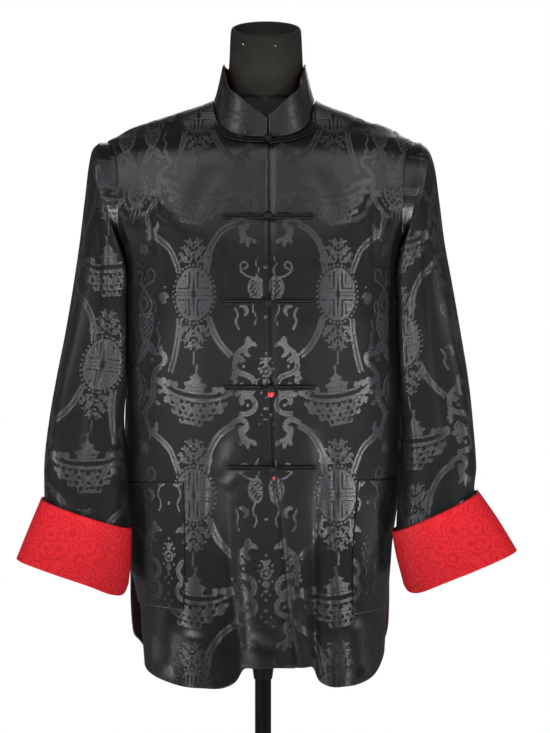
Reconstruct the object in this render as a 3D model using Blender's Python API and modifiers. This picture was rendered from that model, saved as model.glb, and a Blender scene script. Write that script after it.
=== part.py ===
# Tang jacket on a limbless dress form. Metres, +Z up, the jacket's front faces -Y.
# Angles round the body run from 0 at the centre front, through 90 at a side seam, to 180 at the
# centre back. They are negative on the wearer's right, which is at -X.
import math

import bmesh
import bpy
import numpy as np
from mathutils import Matrix, Vector
from mathutils.bvhtree import BVHTree

CLOTH = 0.002          # wall of the jacket's cloth
POCKET_CLOTH = 0.0015
GAP = 0.0004           # between two pieces at a seam
LAP = 0.0031           # how far the left front sits behind the right one where it is lapped
LAP_COLUMNS = (-0.019, -0.009, 0.002)   # X of its lapped columns from the right front's edge
LAP_END = 0.011

ARMPIT_Z = 1.192
SHOULDER_Z = 1.339
ARMHOLE_HALF_Y = 0.067
CENTRE_NECK_Z = 1.335
NECK_POINT_Z = 1.3955
RELAX_ROUNDS = 40      # how often a panel's upper grid is evened out
NECK_SHARE = 0.42      # of a front's top edge, from the centre to the neck point

# Outside of the jacket's body. Left and right are half widths as seen from the front, front and
# back are depths from the middle, and power is the roundness of the section (2 is an ellipse).
BODY = {
    "columns": ("z", "left", "right", "front", "back", "middle", "power"),
    "rows": (
        (0.600, 0.176, 0.161, 0.131, 0.117, 0.000, 2.35),
        (0.650, 0.180, 0.165, 0.131, 0.117, 0.000, 2.35),
        (0.700, 0.1838, 0.1675, 0.130, 0.116, 0.000, 2.38),
        (0.790, 0.185, 0.169, 0.128, 0.114, 0.000, 2.40),
        (0.880, 0.189, 0.181, 0.127, 0.112, 0.000, 2.40),
        (0.950, 0.190, 0.184, 0.126, 0.111, 0.000, 2.40),
        (1.030, 0.189, 0.180, 0.125, 0.110, 0.000, 2.42),
        (1.100, 0.188, 0.176, 0.126, 0.109, 0.000, 2.45),
        (1.160, 0.188, 0.175, 0.126, 0.108, 0.001, 2.50),
        (1.195, 0.194, 0.180, 0.123, 0.108, 0.001, 2.60),
        (1.230, 0.206, 0.190, 0.118, 0.107, 0.002, 2.75),
        (1.280, 0.2205, 0.2045, 0.107, 0.103, 0.003, 2.60),
        (1.320, 0.2235, 0.2070, 0.095, 0.098, 0.004, 2.20),
        (1.339, 0.2160, 0.1990, 0.083, 0.093, 0.005, 1.95),
        (1.346, 0.2035, 0.1880, 0.077, 0.090, 0.005, 1.85),
        (1.3575, 0.184, 0.170, 0.066, 0.083, 0.005, 1.70),
        (1.371, 0.145, 0.132, 0.060, 0.075, 0.005, 1.70),
        (1.3955, 0.0725, 0.068, 0.056, 0.060, 0.005, 1.80),
        (1.410, 0.060, 0.057, 0.054, 0.058, 0.005, 2.00),
    ),
}
# The neckline seam in plan: half width, depths to the front and back, and roundness of each.
NECK_HALF = 0.0725
NECK_FRONT, NECK_BACK = 0.0852, 0.0622
NECK_POWER_FRONT, NECK_POWER_BACK = 3.1, 2.1
# X of the right front's edge, which laps over the left front.
FRONT_EDGE = {
    "columns": ("z", "x"),
    "rows": ((0.600, 0.0375), (0.650, 0.0370), (0.700, 0.0280), (0.765, 0.0215), (0.850, 0.0142),
             (0.900, 0.0084), (1.000, 0.0052), (1.120, 0.0032), (1.310, 0.0026), (1.340, 0.0026)),
}
# Hem height round the body, and how far each panel's vent edge draws back from the side.
HEM = {
    "columns": ("angle", "z"),
    "rows": ((-180, 0.640), (-135, 0.640), (-100, 0.641), (-82, 0.640), (-68, 0.638), (-57, 0.634),
             (-46, 0.6285), (-37, 0.6255), (-24, 0.6247), (-13, 0.6255), (-9.5, 0.632), (-7, 0.646),
             (-3, 0.649), (8, 0.650), (17, 0.650), (19.5, 0.646), (22, 0.632), (25.5, 0.6255),
             (34, 0.6245), (48, 0.6255), (57, 0.6295), (65, 0.637), (73, 0.645), (84, 0.650),
             (100, 0.641), (135, 0.640), (180, 0.640)),
}
VENTS = {
    "columns": ("z", "front_left", "front_right", "back_left", "back_right"),
    "rows": ((0.600, 9, 9, 34, 34), (0.640, 8, 7, 22, 20), (0.654, 7.5, 6.5, 15, 12),
             (0.667, 7, 6, 5, 6), (0.682, 6.5, 5, 1.5, 1.5), (0.700, 6, 4.5, 0.5, 0.5),
             (0.735, 4.5, 3, 0, 0), (0.757, 3, 1.5, 0, 0), (0.772, 1.5, 0.5, 0, 0),
             (0.787, 0, 0, 0, 0), (1.20, 0, 0, 0, 0)),
}
# Below the vents the fronts draw in at their edge, so that the back shows beside them.
TUCK = {-1: 0.0145, 1: 0.0045}
TUCK_TOP_Z = 0.787
# Soft folds that run up and down the body. Each goes through three places, its width is in
# degrees, a negative depth is a trough, and it fades out over the given heights.
BODY_FOLDS = {
    "columns": ("top_angle", "top_z", "mid_angle", "mid_z", "low_angle", "low_z", "width",
                "depth", "top_fade", "low_fade"),
    "rows": (
        (-11, 0.99, -13, 0.80, -8.5, 0.62, 5.0, -0.014, 0.22, 0.0),
        (17, 0.98, 19, 0.80, 21, 0.62, 5.0, -0.013, 0.20, 0.0),
        (-26, 0.86, -27, 0.74, -27, 0.60, 10.0, 0.008, 0.16, 0.0),
        (33, 0.86, 34, 0.74, 36, 0.60, 10.0, 0.007, 0.16, 0.0),
        (4, 0.80, 5, 0.72, 6, 0.60, 9.0, -0.003, 0.16, 0.0),
        (-166, 1.00, -163, 0.82, -161, 0.62, 6.0, -0.011, 0.24, 0.0),
        (164, 1.02, 160, 0.80, 158, 0.62, 6.0, -0.012, 0.26, 0.0),
        (-143, 0.90, -141, 0.76, -139, 0.60, 9.0, 0.007, 0.18, 0.0),
        (141, 0.92, 138, 0.76, 137, 0.60, 9.0, 0.007, 0.18, 0.0),
        (179, 0.84, 177, 0.74, 176, 0.60, 9.0, 0.005, 0.16, 0.0),
        (-46, 1.27, -36, 1.20, -33, 1.12, 6.0, -0.003, 0.05, 0.06),
        (46, 1.27, 38, 1.20, 34, 1.12, 6.0, -0.003, 0.05, 0.06),
        (-140, 1.27, -147, 1.20, -150, 1.10, 7.0, -0.004, 0.05, 0.08),
        (140, 1.27, 147, 1.20, 150, 1.10, 7.0, -0.004, 0.05, 0.08),
    ),
}
# A sleeve's outside as rings: along runs from the armhole to the fold of the cuff, outer is the
# line over the shoulder and down the outside of the arm, inner the line under the arm.
# turn swings a ring's front towards the body, in degrees.
SLEEVE_COLUMNS = ("along", "outer_x", "outer_z", "inner_x", "inner_z", "front_y", "back_y", "power",
                  "turn")
LEAN_PER_TURN = 0.0006    # metres that the inner front also leans towards the body, per degree
SLEEVE_RIGHT = {
    "columns": SLEEVE_COLUMNS,
    "rows": (
        (0.04, -0.2265, 1.3365, -0.2005, 1.1965, -0.067, 0.070, 2.1, 0),
        (0.09, -0.2345, 1.3280, -0.2010, 1.1900, -0.070, 0.072, 2.1, 0),
        (0.16, -0.2410, 1.3040, -0.1955, 1.1700, -0.073, 0.071, 2.1, 5),
        (0.25, -0.2455, 1.2600, -0.1920, 1.1380, -0.075, 0.066, 2.3, 10),
        (0.35, -0.2505, 1.2050, -0.1942, 1.1000, -0.076, 0.055, 2.4, 13),
        (0.46, -0.2575, 1.1450, -0.1956, 1.0550, -0.079, 0.043, 2.5, 16),
        (0.57, -0.2665, 1.0830, -0.1952, 1.0080, -0.085, 0.028, 2.5, 18),
        (0.68, -0.2785, 1.0200, -0.1950, 0.9600, -0.092, 0.013, 2.5, 16),
        (0.78, -0.2880, 0.9620, -0.1890, 0.9140, -0.099, -0.003, 2.4, 13),
        (0.87, -0.2930, 0.9060, -0.1838, 0.8700, -0.106, -0.016, 2.3, 8),
        (0.93, -0.2912, 0.8610, -0.1805, 0.8220, -0.1135, -0.031, 2.3, 2),
        (1.00, -0.3238, 0.7860, -0.1825, 0.7482, -0.1158, -0.0402, 2.3, 0),
    ),
}
SLEEVE_LEFT = {
    "columns": SLEEVE_COLUMNS,
    "rows": (
        (0.04, 0.2095, 1.3365, 0.1865, 1.1965, -0.067, 0.070, 2.1, 0),
        (0.09, 0.2195, 1.3280, 0.1872, 1.1900, -0.070, 0.072, 2.1, 0),
        (0.16, 0.2290, 1.3040, 0.1820, 1.1700, -0.073, 0.071, 2.1, 5),
        (0.25, 0.2345, 1.2600, 0.1793, 1.1380, -0.075, 0.066, 2.3, 10),
        (0.35, 0.2400, 1.2050, 0.1825, 1.1000, -0.076, 0.055, 2.4, 13),
        (0.46, 0.2490, 1.1450, 0.1852, 1.0550, -0.079, 0.043, 2.5, 16),
        (0.57, 0.2585, 1.0830, 0.1872, 1.0080, -0.085, 0.028, 2.5, 18),
        (0.68, 0.2685, 1.0200, 0.1888, 0.9600, -0.092, 0.013, 2.5, 16),
        (0.78, 0.2745, 0.9620, 0.1850, 0.9140, -0.099, -0.003, 2.4, 13),
        (0.87, 0.2780, 0.9060, 0.1778, 0.8700, -0.106, -0.016, 2.3, 8),
        (0.93, 0.2735, 0.8700, 0.1715, 0.8180, -0.1135, -0.031, 2.3, 2),
        (1.00, 0.3253, 0.7970, 0.1825, 0.7462, -0.1160, -0.040, 2.3, 0),
    ),
}
# Folds down a sleeve: around is the angle from the outer line towards the front.
SLEEVE_FOLDS = {
    "columns": ("around_top", "around_low", "top", "low", "width", "depth"),
    "rows": (
        (60, 78, 0.20, 0.86, 11, -0.006),
        (104, 112, 0.34, 0.90, 11, 0.004),
        (30, 40, 0.40, 0.92, 13, 0.003),
        (142, 138, 0.12, 0.62, 13, -0.005),
        (236, 250, 0.18, 0.84, 13, -0.006),
        (296, 288, 0.30, 0.90, 14, 0.004),
    ),
}
# A cuff stands outside the sleeve's end, from the fold (0) up to its top edge (1).
CUFF_RIGHT = {
    "columns": SLEEVE_COLUMNS,
    "rows": (
        (0.0, -0.3270, 0.7850, -0.1800, 0.7470, -0.1185, -0.0375, 2.3, 0),
        (0.5, -0.3110, 0.8250, -0.1765, 0.7880, -0.1190, -0.0320, 2.3, 1),
        (1.0, -0.2950, 0.8636, -0.1765, 0.8235, -0.1200, -0.0250, 2.3, 2),
    ),
}
CUFF_LEFT = {
    "columns": SLEEVE_COLUMNS,
    "rows": (
        (0.0, 0.3285, 0.7960, 0.1800, 0.7450, -0.1185, -0.0375, 2.3, 0),
        (0.5, 0.3050, 0.8350, 0.1710, 0.7840, -0.1190, -0.0320, 2.3, 1),
        (1.0, 0.2790, 0.8727, 0.1655, 0.8190, -0.1200, -0.0250, 2.3, 2),
    ),
}
# How far the fold of each cuff dips below its slanted plane.
CUFF_DIP = {
    "columns": ("around", "right", "left"),
    "rows": ((0, 0.000, 0.000), (70, -0.002, -0.002), (105, -0.006, -0.005), (135, -0.011, -0.008),
             (155, -0.009, -0.004), (175, 0.003, 0.005), (195, 0.006, 0.006), (240, 0.000, 0.000),
             (360, 0.000, 0.000)),
}
# The collar's top edge: height of the band over the neckline, and how far it leans in.
COLLAR = {
    "columns": ("angle", "height", "lean"),
    "rows": ((0, 0.0278, 0.007), (2.5, 0.0345, 0.0071), (8, 0.0486, 0.008), (11.5, 0.0538, 0.0088),
             (13.5, 0.0544, 0.0094), (18, 0.0538, 0.0103), (26, 0.0540, 0.011), (40, 0.0505, 0.011),
             (90, 0.049, 0.0122), (135, 0.050, 0.009), (180, 0.051, 0.006)),
}
COLLAR_FACING = 0.001
COLLAR_INSIDE = 0.0021    # its foot stands this far inside the neckline
# Patch pockets, in angles from the centre front.
POCKETS = {
    "columns": ("inner", "outer", "inner_top_z", "outer_top_z", "low_z"),
    "rows": ((-30, -80, 0.8870, 0.8800, 0.7230), (37, 81, 0.8890, 0.8850, 0.7160)),
}
# Frogs: height of each knot, and how far each arm reaches to the sides.
FROG_CORD = 0.0016
FROG_REACH = 0.053
KNOT_RADIUS = 0.0055
KNOT_RISE = 0.0036       # the knot's arm climbs over the right front's edge to the knot
FROG_CLEAR = 0.0004
NECK_FROG_BELOW = 0.0056    # the first frog follows the neckline this far below it
FROG_Z = (1.3400, 1.2300, 1.1190, 1.0090, 0.9060)
# Dress form: level sections up to the neck, then rings that tilt to the rim's slant.
FORM = {
    "columns": ("z", "width", "front", "back", "middle", "power", "slant", "side"),
    "rows": (
        (0.700, 0.060, 0.050, 0.050, 0.002, 2.0, 0.0, -0.004),
        (0.702, 0.118, 0.076, 0.082, 0.002, 2.1, 0.0, -0.004),
        (0.715, 0.136, 0.088, 0.094, 0.002, 2.2, 0.0, -0.004),
        (0.760, 0.148, 0.096, 0.099, 0.002, 2.2, 0.0, -0.004),
        (0.830, 0.152, 0.098, 0.100, 0.002, 2.2, 0.0, -0.004),
        (0.920, 0.136, 0.090, 0.088, 0.001, 2.2, 0.0, -0.004),
        (1.010, 0.118, 0.084, 0.076, 0.000, 2.2, 0.0, -0.004),
        (1.090, 0.132, 0.098, 0.086, 0.000, 2.2, 0.0, -0.004),
        (1.170, 0.152, 0.114, 0.096, 0.001, 2.3, 0.0, -0.004),
        (1.230, 0.170, 0.108, 0.098, 0.002, 2.4, 0.0, -0.004),
        (1.280, 0.182, 0.098, 0.096, 0.003, 2.3, 0.0, -0.005),
        (1.315, 0.186, 0.087, 0.090, 0.004, 2.0, 0.0, -0.006),
        (1.340, 0.181, 0.073, 0.083, 0.005, 1.8, 0.0, -0.0065),
        (1.352, 0.167, 0.0625, 0.078, 0.005, 1.7, 0.0, -0.0065),
        (1.3925, 0.0585, 0.0465, 0.0505, 0.0045, 1.85, 0.0, -0.0015),
        (1.405, 0.0545, 0.0475, 0.0510, 0.003, 2.0, 0.3, -0.0008),
        (1.440, 0.0505, 0.046, 0.0475, 0.001, 2.0, 0.6, 0.0),
        (1.470, 0.0490, 0.046, 0.048, -0.001, 2.0, 0.85, 0.0),
        (1.488, 0.0478, 0.046, 0.048, -0.003, 2.0, 1.0, 0.0),
        (1.4925, 0.0462, 0.0445, 0.0465, -0.003, 2.0, 1.0, 0.0),
        (1.4925, 0.0436, 0.0420, 0.0440, -0.003, 2.0, 1.0, 0.0),
        (1.488, 0.0422, 0.0405, 0.0425, -0.003, 2.0, 1.0, 0.0),
        (1.450, 0.0425, 0.0400, 0.0420, -0.001, 2.0, 0.6, 0.0),
        (1.415, 0.0415, 0.0385, 0.0410, 0.001, 2.0, 0.2, 0.0),
        (1.410, 0.0370, 0.0340, 0.0370, 0.001, 2.0, 0.1, 0.0),
    ),
}
SHOULDER_RINGS = (1.3580, 1.3640, 1.3700, 1.3755)
FORM_BELOW = 0.0044      # how far below the jacket's outside the form's shoulders lie
FORM_INSIDE = 0.0076
RIM_SLANT = math.tan(math.radians(21.5))
SOCKET_RADIUS = 0.014
SOCKET_LOW_Z = 0.6095
POLE_RADIUS = 0.011
HANG_X = 0.004
BASE_RADIUS = 0.170
BASE_HEIGHT = 0.010


def smooth(table, name):
    """A smooth curve through one column of a table, as a function of its first column."""
    at = np.array([row[0] for row in table["rows"]], float)
    value = np.array([row[table["columns"].index(name)] for row in table["rows"]], float)
    step = np.diff(value) / np.diff(at)
    slope = np.concatenate([step[:1], (step[:-1] + step[1:]) / 2, step[-1:]])
    slope[1:-1][step[:-1] * step[1:] <= 0] = 0.0

    def curve(x):
        x = np.clip(np.asarray(x, float), at[0], at[-1])
        i = np.clip(np.searchsorted(at, x, side="right") - 1, 0, len(at) - 2)
        span = at[i + 1] - at[i]
        t = (x - at[i]) / span
        return ((2 * t**3 - 3 * t**2 + 1) * value[i] + (t**3 - 2 * t**2 + t) * span * slope[i]
                + (3 * t**2 - 2 * t**3) * value[i + 1] + (t**3 - t**2) * span * slope[i + 1])

    return curve


def ease(x):
    x = np.clip(x, 0.0, 1.0)
    return x * x * (3 - 2 * x)


body = {name: smooth(BODY, name) for name in BODY["columns"][1:]}
hem = smooth(HEM, "z")
front_edge = smooth(FRONT_EDGE, "x")
dip = {-1: smooth(CUFF_DIP, "right"), 1: smooth(CUFF_DIP, "left")}
vents = {name: smooth(VENTS, name) for name in VENTS["columns"][1:]}
lean = smooth(COLLAR, "lean")
tall = smooth(COLLAR, "height")


def fold_depth(angle, z):
    """How far the folds move the body's cloth outwards."""
    moved = np.zeros(np.broadcast(angle, z).shape)
    for row in BODY_FOLDS["rows"]:
        f = dict(zip(BODY_FOLDS["columns"], row))
        above = ease((z - f["mid_z"]) / (f["top_z"] - f["mid_z"]))
        below = ease((f["mid_z"] - z) / (f["mid_z"] - f["low_z"]))
        centre = f["mid_angle"] + np.where(z > f["mid_z"], (f["top_angle"] - f["mid_angle"]) * above,
                                           (f["low_angle"] - f["mid_angle"]) * below)
        off = (angle - centre + 180) % 360 - 180
        fade = ease((f["top_z"] - z) / f["top_fade"])
        if f["low_fade"]:
            fade = fade * ease((z - f["low_z"]) / f["low_fade"])
        moved = moved + f["depth"] * np.exp(-((off / f["width"]) ** 2)) * fade
    return moved


def plain_body(angle, z):
    half = np.where(angle < 0, body["left"](z), body["right"](z))
    turn = np.radians(angle)
    power = 2 / body["power"](z)
    across, along = np.sin(turn), np.cos(turn)
    depth = np.where(along > 0, body["front"](z), body["back"](z))
    x = half * np.sign(across) * np.abs(across) ** power
    y = body["middle"](z) - depth * np.sign(along) * np.abs(along) ** power
    return np.stack([x, y, np.broadcast_to(z, x.shape)], axis=-1)


def folded_body(angle, z, out=0.0):
    """Points of the jacket's outside, moved out by a distance."""
    angle, z = np.broadcast_arrays(np.asarray(angle, float), np.asarray(z, float))
    point = plain_body(angle, z)
    round_it = plain_body(angle + 0.5, z) - plain_body(angle - 0.5, z)
    level = np.stack([-round_it[..., 1], round_it[..., 0], 0 * z], axis=-1)
    level /= np.maximum(np.linalg.norm(level, axis=-1, keepdims=True), 1e-9)
    point = point - level * fold_depth(angle, z)[..., None]
    if np.any(out):
        up_it = plain_body(angle, z + 0.002) - plain_body(angle, z - 0.002)
        normal = np.cross(up_it, round_it)
        normal /= np.maximum(np.linalg.norm(normal, axis=-1, keepdims=True), 1e-9)
        point = point - normal * np.asarray(out)[..., None]
    return point


def tuck(angle, z):
    """How far the fronts' cloth stands inside the body's form beside a vent."""
    deep = np.where(angle < 0, TUCK[-1], TUCK[1])
    return deep * ease((np.abs(angle) - 50) / 34) * ease((TUCK_TOP_Z - z) / 0.085)


def on_body(places):
    return plain_body(places[..., 0], places[..., 1])


def neckline(angle):
    """Height of the neckline seam on the body."""
    angle = np.abs(np.asarray(angle, float))
    low, high = np.full(angle.shape, CENTRE_NECK_Z - 0.002), np.full(angle.shape, NECK_POINT_Z)
    deep = np.where(angle < 90, NECK_FRONT, NECK_BACK)
    power = np.where(angle < 90, NECK_POWER_FRONT, NECK_POWER_BACK)
    for _ in range(24):
        z = (low + high) / 2
        point = plain_body(-angle, z)
        across, along = np.abs(point[..., 0]), np.abs(point[..., 1] - body["middle"](z))
        inside = (across / NECK_HALF) ** power + (along / deep) ** power < 1
        low, high = np.where(inside, low, z), np.where(inside, z, high)
    return (low + high) / 2


def place_of(point):
    """The angle and height at which a point near the body lies."""
    z = point[..., 2]
    half = np.where(point[..., 0] < 0, body["left"](z), body["right"](z))
    fore = body["middle"](z) - point[..., 1]
    depth = np.where(fore > 0, body["front"](z), body["back"](z))
    power = body["power"](z) / 2
    across = np.sign(point[..., 0]) * np.abs(point[..., 0] / half) ** power
    along = np.sign(fore) * np.abs(fore / depth) ** power
    return np.stack([np.degrees(np.arctan2(across, along)), z], axis=-1)


def angle_at(x, z):
    """The front angle whose outside point has this x."""
    half = np.where(x < 0, body["left"](z), body["right"](z))
    share = np.clip(np.abs(x) / half, 0, 1)
    return np.sign(x) * np.degrees(np.arcsin(share ** (body["power"](z) / 2)))


def armhole(sign, around):
    """The armhole's curve on the body: around is 0 at the shoulder and 180 under the arm, and
    grows towards the front."""
    turn = np.radians(around)
    middle_z, half_z = (SHOULDER_Z + ARMPIT_Z) / 2, (SHOULDER_Z - ARMPIT_Z) / 2
    z = middle_z + half_z * np.cos(turn)
    fore = ARMHOLE_HALF_Y * np.sin(turn)
    depth = np.where(fore > 0, body["front"](z), body["back"](z))
    off = np.degrees(np.arccos((np.abs(fore) / depth) ** (body["power"](z) / 2)))
    return sign * np.where(fore > 0, off, 180 - off), z


def seam(z):
    """Half a seam's gap beside the side or shoulder line, in degrees."""
    share = GAP / 2 / np.minimum(body["front"](z), body["back"](z))
    return np.degrees(np.arcsin(share ** (body["power"](z) / 2)))


def blend(low, top, left, right, u, v):
    """A patch filled in from its four edges (a Coons patch)."""
    u, v = u[..., None], v[..., None]
    corners = ((1 - u) * (1 - v) * low[0, 0] + u * (1 - v) * low[0, -1]
               + (1 - u) * v * top[0, 0] + u * v * top[0, -1])
    return (1 - v) * low + v * top + (1 - u) * left + u * right - corners


def panel_places(start, stop, top_edge, left_edge, right_edge, across, rows_low, rows_high):
    """Angle and height of each vertex of a panel, row by row from the hem. Below the armpit a row
    runs between start(z) and stop(z). Above it the patch is blended from its edges."""
    u = across
    rows = []
    for t in rows_low:
        z = np.full(len(u), ARMPIT_Z)
        for _ in range(4):
            angle = start(z) + (stop(z) - start(z)) * u
            low = hem(angle)
            z = low + (ARMPIT_Z - low) * t
        rows.append(np.stack([angle, z], axis=-1))
    v = np.sin(np.asarray(rows_high) * math.pi / 2)
    uu, vv = np.meshgrid(u, v)
    low, top = on_body(rows[-1])[None], on_body(top_edge(u))[None]
    left, right = on_body(left_edge(v))[:, None], on_body(right_edge(v))[:, None]
    patch = blend(low, top, left, right, uu, vv)
    relax = 1 - ease((u[1:-1] - 0.5) / 0.22)[:, None]
    for _ in range(RELAX_ROUNDS):
        inner = (patch[:-2, 1:-1] + patch[2:, 1:-1] + patch[1:-1, :-2] + patch[1:-1, 2:]) / 4
        patch[1:-1, 1:-1] += relax * (on_body(place_of(inner)) - patch[1:-1, 1:-1])
    patch = place_of(patch)
    return np.concatenate([np.array(rows), patch[1:]], axis=0)


def columns(neck, shoulder):
    """Shares across a panel with a column at the neck point."""
    beside_neck = np.linspace(0, NECK_SHARE, neck + 1)
    return np.concatenate([beside_neck, np.linspace(NECK_SHARE, 1, shoulder + 1)[1:]])


def front_neck(sign, u):
    """Angles of a front's columns along the neckline."""
    first = float(angle_at(front_edge(CENTRE_NECK_Z) + (0 if sign < 0 else LAP_END), CENTRE_NECK_Z))
    return first + (sign * 90 - first) * np.clip(u / NECK_SHARE, 0, 1) ** 1.15


def back_neck(sign, u):
    return sign * (180 - 90 * np.clip(u / NECK_SHARE, 0, 1) ** 1.05)


def front_places(sign, across, rows_low, rows_high):
    """The vertex places of one front. The right front (sign -1) laps over the left one."""
    side = "front_left" if sign < 0 else "front_right"

    def start(z):
        return angle_at(front_edge(z) + (0 if sign < 0 else LAP_END), z)

    def stop(z):
        return sign * (90 - seam(z) - vents[side](z))

    def top_edge(u):
        down = np.clip((u - NECK_SHARE) / (1 - NECK_SHARE), 0, 1)
        z = NECK_POINT_Z + (SHOULDER_Z - NECK_POINT_Z) * down
        angle = np.where(u < NECK_SHARE, front_neck(sign, u), sign * (90 - seam(z)))
        z = np.where(u < NECK_SHARE, neckline(np.abs(angle)), z)
        return np.stack([angle, z], axis=-1)

    def left_edge(v):
        z = ARMPIT_Z + (float(neckline(0.0)) - ARMPIT_Z) * v
        return np.stack([start(z), z], axis=-1)

    def right_edge(v):
        around = 180 - 360 / math.pi * np.arcsin(v)
        angle, z = armhole(sign, around)
        return np.stack([sign * np.minimum(np.abs(angle), 90 - seam(z)), z], axis=-1)

    places = panel_places(start, stop, top_edge, left_edge, right_edge, across, rows_low, rows_high)
    if sign < 0:
        return places
    z = places[:, 0, 1]
    lapped = [np.stack([angle_at(front_edge(z) + dx, z), z], axis=-1) for dx in LAP_COLUMNS]
    return np.concatenate([np.stack(lapped, axis=1), places], axis=1)


def back_places(sign, across, rows_low, rows_high):
    """The vertex places of half the back, from the centre back to the side."""
    side = "back_left" if sign < 0 else "back_right"

    def start(z):
        return np.full(np.shape(z), sign * 180.0)

    def stop(z):
        return sign * (90 + seam(z) + vents[side](z))

    def top_edge(u):
        down = np.clip((u - NECK_SHARE) / (1 - NECK_SHARE), 0, 1)
        z = NECK_POINT_Z + (SHOULDER_Z - NECK_POINT_Z) * down
        angle = np.where(u < NECK_SHARE, back_neck(sign, u), sign * (90 + seam(z)))
        z = np.where(u < NECK_SHARE, neckline(np.abs(angle)), z)
        return np.stack([angle, z], axis=-1)

    def left_edge(v):
        z = ARMPIT_Z + (float(neckline(180.0)) - ARMPIT_Z) * v
        return np.stack([start(z), z], axis=-1)

    def right_edge(v):
        around = 180 + 360 / math.pi * np.arcsin(v)
        angle, z = armhole(sign, around)
        return np.stack([sign * np.maximum(np.abs(angle), 90 + seam(z)), z], axis=-1)

    places = panel_places(start, stop, top_edge, left_edge, right_edge, across, rows_low, rows_high)
    places[..., 0] = sign * np.abs(places[..., 0])
    return places


def material(name, colour, roughness, metallic=0.0):
    made = bpy.data.materials.new(name)
    made.use_nodes = True
    shader = made.node_tree.nodes["Principled BSDF"]
    shader.inputs["Base Color"].default_value = (*colour, 1)
    shader.inputs["Roughness"].default_value = roughness
    shader.inputs["Metallic"].default_value = metallic
    return made


def place(name, mesh, slot):
    made = bpy.data.objects.new(name, mesh)
    collection.objects.link(made)
    mesh.materials.append(slot)
    return made


def grid_mesh(name, points, closed=False, flip=False):
    """A mesh grid moved onto an array of points (rows, columns, 3), its ends joined if closed."""
    rows, columns = points.shape[:2]
    bm = bmesh.new()
    made = bmesh.ops.create_grid(bm, x_segments=rows - 1, y_segments=columns - 1, size=1)
    verts = made["verts"]
    for vert in verts:
        i = round((vert.co.x + 1) / 2 * (rows - 1))
        j = round((vert.co.y + 1) / 2 * (columns - 1))
        vert.co = Vector(points[i, j])
    if closed:
        bmesh.ops.remove_doubles(bm, verts=bm.verts[:], dist=1e-6)
    if flip:
        bmesh.ops.reverse_faces(bm, faces=bm.faces[:])
    for face in bm.faces:
        face.smooth = True
    mesh = bpy.data.meshes.new(name)
    bm.to_mesh(mesh)
    bm.free()
    return mesh


def cloth(name, points, thickness, slot, closed=False, flip=False):
    """A grid of outside points as a wall that grows inwards."""
    made = place(name, grid_mesh(name, points, closed, flip), slot)
    wall = made.modifiers.new("Wall", "SOLIDIFY")
    wall.thickness = thickness
    wall.offset = -1
    wall.use_rim = True
    return made


def wall(name, places, out, thickness, slot):
    """A panel of the body as a wall: its outside stands off the body's form by out."""
    skins = [folded_body(places[..., 0], places[..., 1], off * np.ones(places.shape[:2]))
             for off in (out, out - thickness)]
    rows, across = places.shape[:2]
    bm = bmesh.new()
    for skin in skins:
        made = bmesh.ops.create_grid(bm, x_segments=rows - 1, y_segments=across - 1, size=1)["verts"]
        for vert in made:
            i = round((vert.co.x + 1) / 2 * (rows - 1))
            j = round((vert.co.y + 1) / 2 * (across - 1))
            vert.co = Vector(skin[i, j])
    bmesh.ops.bridge_loops(bm, edges=[e for e in bm.edges if e.is_boundary])
    bmesh.ops.recalc_face_normals(bm, faces=bm.faces[:])
    for face in bm.faces:
        face.smooth = True
    mesh = bpy.data.meshes.new(name)
    bm.to_mesh(mesh)
    bm.free()
    return place(name, mesh, slot)


def sleeve_point(table, sign, around, along, out=0.0):
    """Points of a sleeve or cuff: around is 0 on the outer line and grows towards the front."""
    first_dip, last_dip = (0.9, 0.0) if table["rows"][0][0] == 0 else (0.88, 1.0)
    around, along = np.broadcast_arrays(np.asarray(around, float), np.asarray(along, float))
    read = {name: smooth(table, name)(along) for name in SLEEVE_COLUMNS[1:]}
    turn = np.radians(around)
    c, s = np.cos(turn), np.sin(turn)
    power = 2 / read["power"]
    up = np.sign(c) * np.abs(c) ** power
    fore = np.sign(s) * np.abs(s) ** power
    x = up * (read["outer_x"] - read["inner_x"]) / 2
    z = (read["outer_z"] + read["inner_z"]) / 2 + up * (read["outer_z"] - read["inner_z"]) / 2
    y = fore * (read["front_y"] - read["back_y"]) / 2
    tall = np.hypot(read["outer_x"] - read["inner_x"], read["outer_z"] - read["inner_z"]) / 2
    deep = (read["back_y"] - read["front_y"]) / 2
    away = np.stack([c * deep, s * tall], axis=-1)
    away /= np.linalg.norm(away, axis=-1, keepdims=True)
    moved = np.asarray(out) * np.ones(x.shape)
    x = x + away[..., 0] * moved * (read["outer_x"] - read["inner_x"]) / 2 / tall
    z = z + away[..., 0] * moved * (read["outer_z"] - read["inner_z"]) / 2 / tall
    y = y - away[..., 1] * moved
    x = x - sign * LEAN_PER_TURN * read["turn"] * fore * (1 - up) / 2
    swing = -sign * np.radians(read["turn"])
    x, y = x * np.cos(swing) - y * np.sin(swing), x * np.sin(swing) + y * np.cos(swing)
    x = x + (read["outer_x"] + read["inner_x"]) / 2
    y = y + (read["front_y"] + read["back_y"]) / 2
    z = z + dip[sign](around) * ease((along - first_dip) / (last_dip - first_dip))
    return np.stack([x, y, z], axis=-1)


def sleeve_folds(around, along):
    moved = np.zeros(np.broadcast(around, along).shape)
    for row in SLEEVE_FOLDS["rows"]:
        f = dict(zip(SLEEVE_FOLDS["columns"], row))
        share = np.clip((along - f["top"]) / (f["low"] - f["top"]), 0, 1)
        centre = f["around_top"] + (f["around_low"] - f["around_top"]) * share
        off = (around - centre + 180) % 360 - 180
        fade = ease(share / 0.3) * ease((1 - share) / 0.25)
        moved = moved + f["depth"] * np.exp(-((off / f["width"]) ** 2)) * fade
    return moved


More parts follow.
